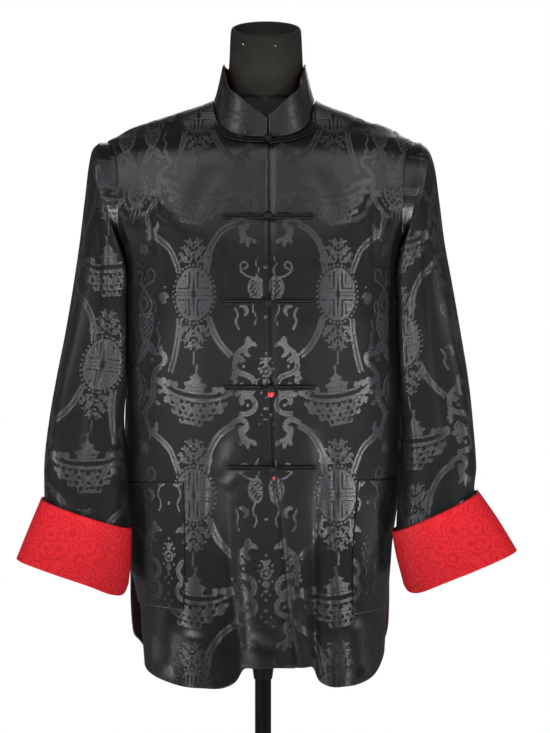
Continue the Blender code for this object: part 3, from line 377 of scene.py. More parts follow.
def doubled(line, off, width):
    # Two lines side by side.
    stroke(beside(line, off), width)
    stroke(beside(line, -off), width)


roundel = {"x": 94, "beads": 34, "beadRing": (28.4, 37.4), "rim": (23.6, 32.2), "line": 2.7}


def drawRoundel():
    # Key-fret roundel with a ring of beads, and fine hatching over and under it.
    cx = roundel["x"]
    for k in range(roundel["beads"]):
        t = 2 * math.pi * (k + 0.5) / roundel["beads"]
        dot(cx + roundel["beadRing"][0] * math.cos(t), roundel["beadRing"][1] * math.sin(t), 1.25)
    stroke([(cx - 24.6, 0), (cx - 3.4, 0)], 2.3)
    for up in (-1, 1):
        rim = [(cx - a, up * b) for a, b in arc(0, 0, *roundel["rim"], 84.5, 10.5, 16)]
        stroke([(cx - 3.2, up * 4.9), *rim, (cx - 23.0, up * 4.9), (cx - 3.2, up * 4.9)], roundel["line"])
        key = ((8.6, 26.4), (8.6, 10.3), (18.4, 10.3), (17.0, 17.4), (13.2, 20.6))
        stroke([(cx - a, up * b) for a, b in key], 2.5)
        blob([(cx - a, up * b) for a, b in ((12.0, 13.2), (15.2, 13.2), (13.2, 17.6), (12.0, 18.2))])
        for row in range(11):
            for k in range(9):
                across = 1.5 + 3.0 * k + 1.5 * (row % 2)
                if (7 * k + 3 * row) % 5 and across < 25 - 1.5 * row + 4 * math.sin(2.3 * row):
                    dot(cx - across, up * (41.5 + 3.0 * row), 0.95)
    stroke([(cx, -74), (cx, -90)], 1.6)


halves = []

# Centre column: a pair of scrolls with crested heads, joined to the roundels by doubled strands
drawRoundel()
doubled(curve([(29.5, 172), (33.5, 176.5), (39, 172.5), (40, 165), (35, 158.5), (27, 155.5), (19, 152),
               (14.6, 144), (16.6, 135.5), (24, 131), (31, 133), (33, 139), (28.6, 143)]), 2.1, 1.9)
doubled(curve([(40, 170), (38.5, 180), (32, 187), (26, 191)]), 1.8, 1.7)
crescent(18.5, 187, 8.4, -80, 150, 3.6)
for x, y, angle, size in ((25, 195, 100, 10), (20, 197, 62, 9), (29, 190, 150, 9), (37, 152, -10, 10),
                          (37, 150, -52, 9), (37, 154, 32, 9), (24, 70, 265, 10), (29, 72, 300, 9),
                          (18, 71, 230, 9), (34, 128, 30, 8)):
    leaf(x, y, angle, size, 5.4)
dot(28.6, 166, 1.7)
dot(25, 138, 1.9)
doubled(curve([(34, 105), (24, 105.5), (15.5, 110), (13.5, 118), (18, 126), (26, 127.5), (32, 123),
               (29.5, 117.5)]), 1.9, 1.8)
dot(23.5, 116.5, 1.8)
doubled(curve([(43, 94), (34, 98), (26.5, 95), (24.5, 88), (29, 83.5), (34, 87)]), 1.8, 1.7)
crescent(21.5, 80.5, 9.5, 70, -110, 3.8)
for line in (curve([(43, 90), (55, 83), (64, 73), (71, 60), (75, 45), (76.5, 31)]),
             curve([(45, -79), (55, -69), (64, -56), (69, -44), (73.5, -31)])):
    doubled(line, 2.5, 2.4)
# a jewelled branch between the scrolls
stroke(arc(0, 160, 5.6, 6.6, -92, 92, 20), 1.8)
leaf(0, 168, 90, 10, 6.4)
leaf(1, 150, -90, 9, 6.0)
for x, y, r in ((0, 160, 2.2), (7.5, 170, 1.5), (5, 176, 1.5), (9, 163, 1.3), (8, 150, 1.4),
                (0, 137, 2.0), (5, 132, 1.4), (0, 126, 1.5), (0, 112, 2.0), (6, 104, 1.4),
                (0, 98, 1.5), (9, 92, 1.3), (0, 183, 1.5)):
    dot(x, y, r)
# netted pods with ribbons, between the roundels
pod = curve([(5, 18), (11, 22), (19, 18), (22.5, 8), (19, -3), (11, -8), (5.5, -3), (4, 8), (5, 18)])
blob(pod, netting=6.8)
stroke(pod, 1.5)
stroke(curve([(17, 21), (26, 24), (33, 31), (32, 39), (26, 41), (24, 35), (29, 32)]), 1.8)
stroke(curve([(12, 23), (9, 31), (13, 39), (10, 47)]), 1.7)
stroke(curve([(40, -18), (36, -27), (39, -35), (35, -45)]), 2.2)
crescent(31, -22, 6.4, 60, 240, 2.4)
stroke(curve([(14, -10), (17, -20), (12, -30), (15, -40)]), 1.7)
dot(0, -30, 1.6)
dot(0, 34, 1.8)
halves.append(field)

# Side column: twin fish hung from ribbons, and a round lantern between scrolling stems
field = np.full((len(gridY), len(gridX)), 6.0)
drawRoundel()
stroke(curve([(17, 8), (24, -1), (30, -10), (29, -20), (21, -26), (12, -22), (7.5, -13), (10, -3),
              (17, 8)]), 2.1)
stroke(curve([(17.5, -2), (23, -9), (22.5, -16), (17, -19), (12.5, -15), (12, -8), (17.5, -2)]), 1.5)
fish = curve([(10, -25), (20, -29), (29, -24), (33, -35), (31, -47), (25, -58), (19, -62), (13, -56),
              (9, -44), (7.5, -33), (10, -25)])
blob(fish, netting=7.2)
stroke(fish, 1.7)
tail = curve([(19, -60), (13, -68), (9, -78), (4, -90), (14, -84), (21, -74), (24, -69), (30, -77),
              (37, -75), (33, -67), (26, -62), (19, -60)])
blob(tail, netting=5.6)
stroke(tail, 1.7)
stroke(curve([(17, 7), (12, 13), (4, 17), (2, 25), (8, 31), (14, 27), (11, 20), (17, 12)]), 1.8)
stroke(curve([(18, 8), (25, 14), (34, 18), (37, 27), (31, 33), (24, 29), (27, 21)]), 1.8)
stroke(curve([(3, 30), (0, 38), (6, 42), (12, 36)]), 1.6)
stroke(curve([(34, -9), (38, -16), (35, -24)]), 1.6)
stroke(curve([(44, -36), (40.5, -47), (45, -56), (41, -70)]), 2.0)
dot(20, 20, 1.8)
dot(0, 12, 2.0)
dot(0, -70, 1.6)

lanternY = 134.0
stroke(arc(0, lanternY, 14.6, 15.4, -92, 92, 40), 2.6)
blob(arc(0, lanternY, 12.4, 13.4, -90, 90, 30), netting=8.0)
for k in range(9):
    t = math.radians(-64 + 16 * k)
    dot(21.4 * math.cos(t), lanternY + 22.4 * math.sin(t), 1.7)
for up in (-1, 1):
    stroke([(0, lanternY + up * 3.2), (14, lanternY + up * 3.2)], 1.7)
    stroke([(0, lanternY + up * 18.4), (8.4, lanternY + up * 18.4)], 2.6)
leaf(0, lanternY + 22, 90, 11, 7.4)
leaf(3.4, lanternY + 22, 55, 9, 4.8)
stroke([(0, lanternY - 20), (0, lanternY - 34)], 2.2)
dot(0, lanternY - 37, 2.4)
stroke(curve([(4.6, lanternY - 21), (7, lanternY - 28), (5.2, lanternY - 35)]), 1.7)
stem = ((27, -46), (21, -36), (22, -25), (29, -17), (35, -8), (34, 4), (33, 14), (38, 25), (46, 31))
doubled(curve([(x, lanternY + y) for x, y in stem]), 2.2, 2.0)
crescent(46, lanternY + 41, 7.6, -100, 130, 3.6)
crescent(33, lanternY - 46, 7.2, 180, 400, 3.4)
stroke(spiral(27.5, lanternY - 5, 5.0, 0.8, 200, -1.5), 1.9)
stroke(spiral(42, lanternY + 12, 5.0, 0.8, 180, -1.5), 1.9)
for x, y, angle, size in ((40, 45, 118, 10), (46, 50, 84, 10), (36, 38, 150, 9), (41, -2, 10, 9),
                          (38, -14, -30, 9), (31, -56, 250, 9), (37, -55, 290, 9), (18, -30, 185, 8)):
    leaf(x, lanternY + y, angle, size, 5.4)
for line in (curve([(26, 84), (34, 78), (48, 69), (60, 58), (67, 44), (73, 29)]),
             curve([(74, -33), (73, -48), (70, -66), (66, -84), (61, -100)])):
    doubled(line, 2.5, 2.4)
for x, y, wide, start, turns in ((52, -4, 6.0, 0, 1.5), (20, 58, 5.8, -80, 1.5)):
    stroke(spiral(x, y, wide, 1.0, start, turns), 2.0)
    crescent(x, y, wide + 0.6, start + 120, start + 300, 2.2)
for x, y in ((0, 50), (9, 66), (0, 74), (53, 9), (12, 190)):
    dot(x, y, 1.5)
halves.append(field)

# The two halves meet at the roundel; the little roof on its bed of clouds leans, so it comes last
field = np.concatenate([halves[0], halves[1][:, -2::-1]], axis=1)
gridX = np.arange(0, 2 * repeat["half"] + 0.01, repeat["step"])
island = {"x": 94.0, "y": 129.5, "lean": -7.0, "scale": 1.18}


def onIsland(points):
    # Places on the island, turned by its lean.
    t = math.radians(-island["lean"])
    turned = []
    for x, y in points:
        x, y = x * island["scale"], y * island["scale"]
        turned.append((island["x"] + x * math.cos(t) - y * math.sin(t),
                       island["y"] + x * math.sin(t) + y * math.cos(t)))
    return turned


def spot(x, y, radius):
    # A round spot on the island.
    (px, py), = onIsland([(x, y)])
    dot(px, py, radius)


cloudRows = ((-12.4, 36, 3.7), (-18.6, 30, 3.7), (-24.6, 21, 3.4), (-30.2, 11, 3.0))
for side in (-1, 1):
    for k, (x, y) in enumerate(((0, -6.4), (7.6, -6.0), (15, -5.0), (22, -3.4), (28.6, -0.8), (34.6, 3.0))):
        stroke(onIsland([(side * x, y), (side * (x + 7.4), y + 0.8 + 0.42 * k)]), 3.4 - 0.22 * k)
    stroke(onIsland([(0, 1.8), (side * 13, 2.4), (side * 25, 4.6)]), 1.7)
    # rows of cloud scallops, each narrower than the one above
    for row, (low, wide, size) in enumerate(cloudRows):
        for k in range(int(wide / 6.8) + 1):
            x = 3.4 * (row % 2) + 6.8 * k
            y = low + 0.006 * x * x * (1.6 if side > 0 else 0.8) + 1.4 * math.sin(1.9 * x + row)
            stroke(onIsland([(side * a, b) for a, b in arc(x, y, size, size * 0.8, 160, 395, 10)]), 1.6)
            if (k + row) % 2:
                spot(side * x, y - 0.4, 1.3)
    for x, y, r in ((38, 9.6, 4.6), (30, 8.6, 3.6), (23, 8.0, 3.2), (31, -9.6, 3.4)):
        stroke(onIsland([(side * a, b) for a, b in spiral(x, y, r, 0.8, -60, 1.4)]), 1.8)
# the roof stands over the roundel's middle, on posts
blob(onIsland([(-14, 11.6), (-10, 12.6), (-4, 15.6), (0, 18.6), (4, 15.6), (10, 12.6), (14, 11.6),
               (12, 9.6), (-12, 9.6)]))
blob(onIsland([(-7.6, 18.4), (-4, 20), (0, 23.4), (4, 20), (7.6, 18.4), (5.6, 16.8), (-5.6, 16.8)]))
stroke(onIsland([(0, 22), (0, 29)]), 2.0)
spot(0, 30.8, 1.9)
for x in (-10, -6, -2, 2, 6, 10):
    stroke(onIsland([(x, 9.8), (x, 3.0)]), 1.7)
stroke(onIsland([(-10, 6.2), (10, 6.2)]), 1.2)
print("damask figure drawn:", field.shape)


def figureAt(u, v):
    # How far inside the figure a place on the cloth is, from -1 in the ground to 1.
    whole, period, step = 2 * repeat["half"], repeat["period"], repeat["step"]
    x = np.abs((u * 1000 + whole) % (2 * whole) - whole) / step
    y = ((v * 1000 + period / 2) % period) / step
    i, j = np.minimum(x.astype(int), len(gridX) - 2), np.minimum(y.astype(int), len(gridY) - 2)
    fx, fy = x - i, y - j
    value = ((1 - fx) * (1 - fy) * field[j, i] + fx * (1 - fy) * field[j, i + 1]
             + (1 - fx) * fy * field[j + 1, i] + fx * fy * field[j + 1, i + 1])
    return np.clip((0.5 - value) / 1.4, -1, 1)


# The jacket's form, as in the part's source: tables and functions for its surfaces, in metres
hangX = 0.004               # the jacket and its form hang this far to the side of the pole
clothThick = 0.002          # wall of the jacket's cloth
pocketThick = 0.0015
seamGap = 0.0004            # between two pieces at a seam
lapDepth = 0.0031           # how far the left front sits behind the right one where it is lapped
lapColumns = (-0.019, -0.009, 0.002)   # X of its lapped columns from the right front's edge
lapEnd = 0.011

armpitZ = 1.192
shoulderZ = 1.339
armholeHalfY = 0.067
centreNeckZ = 1.335
neckPointZ = 1.3955
relaxRounds = 40      # how often a panel's upper grid is evened out
neckShare = 0.42      # of a front's top edge, from the centre to the neck point

# Outside of the jacket's body. Left and right are half widths as seen from the front, front and
# back are depths from the middle, and power is the roundness of the section (2 is an ellipse).
bodyTable = {
    "columns": ("z", "left", "right", "front", "back", "middle", "power"),
    "rows": (
        (0.600, 0.176, 0.161, 0.131, 0.117, 0.000, 2.35),
        (0.650, 0.180, 0.165, 0.131, 0.117, 0.000, 2.35),
        (0.700, 0.1838, 0.1675, 0.130, 0.116, 0.000, 2.38),
        (0.790, 0.185, 0.169, 0.128, 0.114, 0.000, 2.40),
        (0.880, 0.189, 0.181, 0.127, 0.112, 0.000, 2.40),
        (0.950, 0.190, 0.184, 0.126, 0.111, 0.000, 2.40),
        (1.030, 0.189, 0.180, 0.125, 0.110, 0.000, 2.42),
        (1.100, 0.188, 0.176, 0.126, 0.109, 0.000, 2.45),
        (1.160, 0.188, 0.175, 0.126, 0.108, 0.001, 2.50),
        (1.195, 0.194, 0.180, 0.123, 0.108, 0.001, 2.60),
        (1.230, 0.206, 0.190, 0.118, 0.107, 0.002, 2.75),
        (1.280, 0.2205, 0.2045, 0.107, 0.103, 0.003, 2.60),
        (1.320, 0.2235, 0.2070, 0.095, 0.098, 0.004, 2.20),
        (1.339, 0.2160, 0.1990, 0.083, 0.093, 0.005, 1.95),
        (1.346, 0.2035, 0.1880, 0.077, 0.090, 0.005, 1.85),
        (1.3575, 0.184, 0.170, 0.066, 0.083, 0.005, 1.70),
        (1.371, 0.145, 0.132, 0.060, 0.075, 0.005, 1.70),
        (1.3955, 0.0725, 0.068, 0.056, 0.060, 0.005, 1.80),
        (1.410, 0.060, 0.057, 0.054, 0.058, 0.005, 2.00),
    ),
}
# The neckline seam in plan: half width, depths to the front and back, and roundness of each.
neckHalf = 0.0725
neckFront, neckBack = 0.0852, 0.0622
neckPowerFront, neckPowerBack = 3.1, 2.1
# X of the right front's edge, which laps over the left front.
frontEdgeTable = {
    "columns": ("z", "x"),
    "rows": ((0.600, 0.0375), (0.650, 0.0370), (0.700, 0.0280), (0.765, 0.0215), (0.850, 0.0142),
             (0.900, 0.0084), (1.000, 0.0052), (1.120, 0.0032), (1.310, 0.0026), (1.340, 0.0026)),
}
# Hem height round the body, and how far each panel's vent edge draws back from the side.
hemTable = {
    "columns": ("angle", "z"),
    "rows": ((-180, 0.640), (-135, 0.640), (-100, 0.641), (-82, 0.640), (-68, 0.638), (-57, 0.634),
             (-46, 0.6285), (-37, 0.6255), (-24, 0.6247), (-13, 0.6255), (-9.5, 0.632), (-7, 0.646),
             (-3, 0.649), (8, 0.650), (17, 0.650), (19.5, 0.646), (22, 0.632), (25.5, 0.6255),
             (34, 0.6245), (48, 0.6255), (57, 0.6295), (65, 0.637), (73, 0.645), (84, 0.650),
             (100, 0.641), (135, 0.640), (180, 0.640)),
}
ventTable = {
    "columns": ("z", "frontLeft", "frontRight", "backLeft", "backRight"),
    "rows": ((0.600, 9, 9, 34, 34), (0.640, 8, 7, 22, 20), (0.654, 7.5, 6.5, 15, 12),
             (0.667, 7, 6, 5, 6), (0.682, 6.5, 5, 1.5, 1.5), (0.700, 6, 4.5, 0.5, 0.5),
             (0.735, 4.5, 3, 0, 0), (0.757, 3, 1.5, 0, 0), (0.772, 1.5, 0.5, 0, 0),
             (0.787, 0, 0, 0, 0), (1.20, 0, 0, 0, 0)),
}
# Below the vents the fronts draw in at their edge, so that the back shows beside them.
tuckShape = {"left": 0.0145, "right": 0.0045, "angle": 50, "wide": 34, "topZ": 0.787, "tall": 0.085}
# Soft folds that run up and down the body. Each goes through three places, its width is in
# degrees, a negative depth is a trough, and it fades out over the given heights.
bodyFolds = {
    "columns": ("topAngle", "topZ", "midAngle", "midZ", "lowAngle", "lowZ", "width",
                "depth", "topFade", "lowFade"),
    "rows": (
        (-11, 0.99, -13, 0.80, -8.5, 0.62, 5.0, -0.014, 0.22, 0.0),
        (17, 0.98, 19, 0.80, 21, 0.62, 5.0, -0.013, 0.20, 0.0),
        (-26, 0.86, -27, 0.74, -27, 0.60, 10.0, 0.008, 0.16, 0.0),
        (33, 0.86, 34, 0.74, 36, 0.60, 10.0, 0.007, 0.16, 0.0),
        (4, 0.80, 5, 0.72, 6, 0.60, 9.0, -0.003, 0.16, 0.0),
        (-166, 1.00, -163, 0.82, -161, 0.62, 6.0, -0.011, 0.24, 0.0),
        (164, 1.02, 160, 0.80, 158, 0.62, 6.0, -0.012, 0.26, 0.0),
        (-143, 0.90, -141, 0.76, -139, 0.60, 9.0, 0.007, 0.18, 0.0),
        (141, 0.92, 138, 0.76, 137, 0.60, 9.0, 0.007, 0.18, 0.0),
        (179, 0.84, 177, 0.74, 176, 0.60, 9.0, 0.005, 0.16, 0.0),
        (-46, 1.27, -36, 1.20, -33, 1.12, 6.0, -0.003, 0.05, 0.06),
        (46, 1.27, 38, 1.20, 34, 1.12, 6.0, -0.003, 0.05, 0.06),
        (-140, 1.27, -147, 1.20, -150, 1.10, 7.0, -0.004, 0.05, 0.08),
        (140, 1.27, 147, 1.20, 150, 1.10, 7.0, -0.004, 0.05, 0.08),
    ),
}
# A sleeve's outside as rings: along runs from the armhole to the fold of the cuff, outer is the
# line over the shoulder and down the outside of the arm, inner the line under the arm.
# turn swings a ring's front towards the body, in degrees.
sleeveColumns = ("along", "outerX", "outerZ", "innerX", "innerZ", "frontY", "backY", "power", "turn")
leanPerTurn = 0.0006    # metres that the inner front also leans towards the body, per degree
sleeveRightRings = {
    "columns": sleeveColumns,
    "rows": (
        (0.04, -0.2265, 1.3365, -0.2005, 1.1965, -0.067, 0.070, 2.1, 0),
        (0.09, -0.2345, 1.3280, -0.2010, 1.1900, -0.070, 0.072, 2.1, 0),
        (0.16, -0.2410, 1.3040, -0.1955, 1.1700, -0.073, 0.071, 2.1, 5),
        (0.25, -0.2455, 1.2600, -0.1920, 1.1380, -0.075, 0.066, 2.3, 10),
        (0.35, -0.2505, 1.2050, -0.1942, 1.1000, -0.076, 0.055, 2.4, 13),
        (0.46, -0.2575, 1.1450, -0.1956, 1.0550, -0.079, 0.043, 2.5, 16),
        (0.57, -0.2665, 1.0830, -0.1952, 1.0080, -0.085, 0.028, 2.5, 18),
        (0.68, -0.2785, 1.0200, -0.1950, 0.9600, -0.092, 0.013, 2.5, 16),
        (0.78, -0.2880, 0.9620, -0.1890, 0.9140, -0.099, -0.003, 2.4, 13),
        (0.87, -0.2930, 0.9060, -0.1838, 0.8700, -0.106, -0.016, 2.3, 8),
        (0.93, -0.2912, 0.8610, -0.1805, 0.8220, -0.1135, -0.031, 2.3, 2),
        (1.00, -0.3238, 0.7860, -0.1825, 0.7482, -0.1158, -0.0402, 2.3, 0),
    ),
}
sleeveLeftRings = {
    "columns": sleeveColumns,
    "rows": (
        (0.04, 0.2095, 1.3365, 0.1865, 1.1965, -0.067, 0.070, 2.1, 0),
        (0.09, 0.2195, 1.3280, 0.1872, 1.1900, -0.070, 0.072, 2.1, 0),
        (0.16, 0.2290, 1.3040, 0.1820, 1.1700, -0.073, 0.071, 2.1, 5),
        (0.25, 0.2345, 1.2600, 0.1793, 1.1380, -0.075, 0.066, 2.3, 10),
        (0.35, 0.2400, 1.2050, 0.1825, 1.1000, -0.076, 0.055, 2.4, 13),
        (0.46, 0.2490, 1.1450, 0.1852, 1.0550, -0.079, 0.043, 2.5, 16),
        (0.57, 0.2585, 1.0830, 0.1872, 1.0080, -0.085, 0.028, 2.5, 18),
        (0.68, 0.2685, 1.0200, 0.1888, 0.9600, -0.092, 0.013, 2.5, 16),
        (0.78, 0.2745, 0.9620, 0.1850, 0.9140, -0.099, -0.003, 2.4, 13),
        (0.87, 0.2780, 0.9060, 0.1778, 0.8700, -0.106, -0.016, 2.3, 8),
        (0.93, 0.2735, 0.8700, 0.1715, 0.8180, -0.1135, -0.031, 2.3, 2),
        (1.00, 0.3253, 0.7970, 0.1825, 0.7462, -0.1160, -0.040, 2.3, 0),
    ),
}
# Folds down a sleeve: around is the angle from the outer line towards the front.
sleeveFoldTable = {
    "columns": ("aroundTop", "aroundLow", "top", "low", "width", "depth"),
    "rows": (
        (60, 78, 0.20, 0.86, 11, -0.006),
        (104, 112, 0.34, 0.90, 11, 0.004),
        (30, 40, 0.40, 0.92, 13, 0.003),
        (142, 138, 0.12, 0.62, 13, -0.005),
        (236, 250, 0.18, 0.84, 13, -0.006),
        (296, 288, 0.30, 0.90, 14, 0.004),
    ),
}
# A cuff stands outside the sleeve's end, from the fold (0) up to its top edge (1).
cuffRightRings = {
    "columns": sleeveColumns,
    "rows": (
        (0.0, -0.3270, 0.7850, -0.1800, 0.7470, -0.1185, -0.0375, 2.3, 0),
        (0.5, -0.3110, 0.8250, -0.1765, 0.7880, -0.1190, -0.0320, 2.3, 1),
        (1.0, -0.2950, 0.8636, -0.1765, 0.8235, -0.1200, -0.0250, 2.3, 2),
    ),
}
cuffLeftRings = {
    "columns": sleeveColumns,
    "rows": (
        (0.0, 0.3285, 0.7960, 0.1800, 0.7450, -0.1185, -0.0375, 2.3, 0),
        (0.5, 0.3050, 0.8350, 0.1710, 0.7840, -0.1190, -0.0320, 2.3, 1),
        (1.0, 0.2790, 0.8727, 0.1655, 0.8190, -0.1200, -0.0250, 2.3, 2),
    ),
}
# How far the fold of each cuff dips below its slanted plane.
cuffDipTable = {
    "columns": ("around", "right", "left"),
    "rows": ((0, 0.000, 0.000), (70, -0.002, -0.002), (105, -0.006, -0.005), (135, -0.011, -0.008),
             (155, -0.009, -0.004), (175, 0.003, 0.005), (195, 0.006, 0.006), (240, 0.000, 0.000),
             (360, 0.000, 0.000)),
}
# The collar's top edge: height of the band over the neckline, and how far it leans in.
collarTable = {
    "columns": ("angle", "height", "lean"),
    "rows": ((0, 0.0278, 0.007), (2.5, 0.0345, 0.0071), (8, 0.0486, 0.008), (11.5, 0.0538, 0.0088),
             (13.5, 0.0544, 0.0094), (18, 0.0538, 0.0103), (26, 0.0540, 0.011), (40, 0.0505, 0.011),
             (90, 0.049, 0.0122), (135, 0.050, 0.009), (180, 0.051, 0.006)),
}
collarInside = 0.0021    # its foot stands this far inside the neckline
# Patch pockets, in angles from the centre front.
pocketTable = {
    "columns": ("inner", "outer", "innerTopZ", "outerTopZ", "lowZ"),
    "rows": ((-30, -80, 0.8870, 0.8800, 0.7230), (37, 81, 0.8890, 0.8850, 0.7160)),
}


def smoothCurve(table, name):
    # A smooth curve through one column of a table, as a function of its first column.
    at = np.array([row[0] for row in table["rows"]], float)
    value = np.array([row[table["columns"].index(name)] for row in table["rows"]], float)
    step = np.diff(value) / np.diff(at)
    slope = np.concatenate([step[:1], (step[:-1] + step[1:]) / 2, step[-1:]])
    slope[1:-1][step[:-1] * step[1:] <= 0] = 0.0

    def curve(x):
        x = np.clip(np.asarray(x, float), at[0], at[-1])
        i = np.clip(np.searchsorted(at, x, side="right") - 1, 0, len(at) - 2)
        span = at[i + 1] - at[i]
        t = (x - at[i]) / span
        return ((2 * t**3 - 3 * t**2 + 1) * value[i] + (t**3 - 2 * t**2 + t) * span * slope[i]
                + (3 * t**2 - 2 * t**3) * value[i + 1] + (t**3 - t**2) * span * slope[i + 1])

    return curve


def easeIn(x):
    # A soft step from 0 to 1.
    x = np.clip(x, 0.0, 1.0)
    return x * x * (3 - 2 * x)


body = {name: smoothCurve(bodyTable, name) for name in bodyTable["columns"][1:]}
hem = smoothCurve(hemTable, "z")
frontEdge = smoothCurve(frontEdgeTable, "x")
dip = {-1: smoothCurve(cuffDipTable, "right"), 1: smoothCurve(cuffDipTable, "left")}
vents = {name: smoothCurve(ventTable, name) for name in ventTable["columns"][1:]}
lean = smoothCurve(collarTable, "lean")
tall = smoothCurve(collarTable, "height")


def foldDepth(angle, z):
    # How far the folds move the body's cloth outwards.
    moved = np.zeros(np.broadcast(angle, z).shape)
    for row in bodyFolds["rows"]:
        f = dict(zip(bodyFolds["columns"], row))
        above = easeIn((z - f["midZ"]) / (f["topZ"] - f["midZ"]))
        below = easeIn((f["midZ"] - z) / (f["midZ"] - f["lowZ"]))
        centre = f["midAngle"] + np.where(z > f["midZ"], (f["topAngle"] - f["midAngle"]) * above,
                                           (f["lowAngle"] - f["midAngle"]) * below)
        off = (angle - centre + 180) % 360 - 180
        fade = easeIn((f["topZ"] - z) / f["topFade"])
        if f["lowFade"]:
            fade = fade * easeIn((z - f["lowZ"]) / f["lowFade"])
        moved = moved + f["depth"] * np.exp(-((off / f["width"]) ** 2)) * fade
    return moved


def plainBody(angle, z):
    # Points of the body's outside without its folds.
    half = np.where(angle < 0, body["left"](z), body["right"](z))
    turn = np.radians(angle)
    power = 2 / body["power"](z)
    across, along = np.sin(turn), np.cos(turn)
    depth = np.where(along > 0, body["front"](z), body["back"](z))
    x = half * np.sign(across) * np.abs(across) ** power
    y = body["middle"](z) - depth * np.sign(along) * np.abs(along) ** power
    return np.stack([x, y, np.broadcast_to(z, x.shape)], axis=-1)


def foldedBody(angle, z, out=0.0):
    # Points of the jacket's outside, moved out by a distance.
    angle, z = np.broadcast_arrays(np.asarray(angle, float), np.asarray(z, float))
    point = plainBody(angle, z)
    roundIt = plainBody(angle + 0.5, z) - plainBody(angle - 0.5, z)
    level = np.stack([-roundIt[..., 1], roundIt[..., 0], 0 * z], axis=-1)
    level /= np.maximum(np.linalg.norm(level, axis=-1, keepdims=True), 1e-9)
    point = point - level * foldDepth(angle, z)[..., None]
    if np.any(out):
        upIt = plainBody(angle, z + 0.002) - plainBody(angle, z - 0.002)
        normal = np.cross(upIt, roundIt)
        normal /= np.maximum(np.linalg.norm(normal, axis=-1, keepdims=True), 1e-9)
        point = point - normal * np.asarray(out)[..., None]
    return point


def tuckIn(angle, z):
    # How far the fronts' cloth stands inside the body's form beside a vent.
    deep = np.where(angle < 0, tuckShape["left"], tuckShape["right"])
    beside = easeIn((np.abs(angle) - tuckShape["angle"]) / tuckShape["wide"])
    return deep * beside * easeIn((tuckShape["topZ"] - z) / tuckShape["tall"])


def onBody(places):
    return plainBody(places[..., 0], places[..., 1])


def neckline(angle):
    # Height of the neckline seam on the body.
    angle = np.abs(np.asarray(angle, float))
    low, high = np.full(angle.shape, centreNeckZ - 0.002), np.full(angle.shape, neckPointZ)
    deep = np.where(angle < 90, neckFront, neckBack)
    power = np.where(angle < 90, neckPowerFront, neckPowerBack)
    for _ in range(24):
        z = (low + high) / 2
        point = plainBody(-angle, z)
        across, along = np.abs(point[..., 0]), np.abs(point[..., 1] - body["middle"](z))
        inside = (across / neckHalf) ** power + (along / deep) ** power < 1
        low, high = np.where(inside, low, z), np.where(inside, z, high)
    return (low + high) / 2


def placeOf(point):
    # The angle and height at which a point near the body lies.
    z = point[..., 2]
    half = np.where(point[..., 0] < 0, body["left"](z), body["right"](z))
    fore = body["middle"](z) - point[..., 1]
    depth = np.where(fore > 0, body["front"](z), body["back"](z))
    power = body["power"](z) / 2
    across = np.sign(point[..., 0]) * np.abs(point[..., 0] / half) ** power
    along = np.sign(fore) * np.abs(fore / depth) ** power
    return np.stack([np.degrees(np.arctan2(across, along)), z], axis=-1)


def angleAt(x, z):
    # The front angle whose outside point has this x.
    half = np.where(x < 0, body["left"](z), body["right"](z))
    share = np.clip(np.abs(x) / half, 0, 1)
    return np.sign(x) * np.degrees(np.arcsin(share ** (body["power"](z) / 2)))


def armhole(sign, around):
    # The armhole's curve on the body: around is 0 at the shoulder and 180 under the arm, and grows
    # towards the front.
    turn = np.radians(around)
    middleZ, halfZ = (shoulderZ + armpitZ) / 2, (shoulderZ - armpitZ) / 2
    z = middleZ + halfZ * np.cos(turn)
    fore = armholeHalfY * np.sin(turn)
    depth = np.where(fore > 0, body["front"](z), body["back"](z))
    off = np.degrees(np.arccos((np.abs(fore) / depth) ** (body["power"](z) / 2)))
    return sign * np.where(fore > 0, off, 180 - off), z


def seamAngle(z):
    # Half a seam's gap beside the side or shoulder line, in degrees.
    share = seamGap / 2 / np.minimum(body["front"](z), body["back"](z))
    return np.degrees(np.arcsin(share ** (body["power"](z) / 2)))


def panelNeck(sign, toBack, u):
    # Angles of a panel's columns along the neckline, from the centre to the neck point.
    if toBack > 0:
        return sign * (180 - 90 * np.clip(u / neckShare, 0, 1) ** 1.05)
    first = float(angleAt(frontEdge(centreNeckZ) + (0 if sign < 0 else lapEnd), centreNeckZ))
    return first + (sign * 90 - first) * np.clip(u / neckShare, 0, 1) ** 1.15


def panelColumns(neck, shoulder):
    # Shares across a panel with a column at the neck point.
    besideNeck = np.linspace(0, neckShare, neck + 1)
    return np.concatenate([besideNeck, np.linspace(neckShare, 1, shoulder + 1)[1:]])


def coonsPatch(low, top, left, right, u, v):
    # A patch filled in from its four edges (a Coons patch).
    u, v = u[..., None], v[..., None]
    corners = ((1 - u) * (1 - v) * low[0, 0] + u * (1 - v) * low[0, -1]
               + (1 - u) * v * top[0, 0] + u * v * top[0, -1])
    return (1 - v) * low + v * top + (1 - u) * left + u * right - corners


panelSize = {"across": 0.29, "low": 0.560, "high": 0.200, "coarse": 11, "relaxFrom": 0.5, "relaxOver": 0.22}


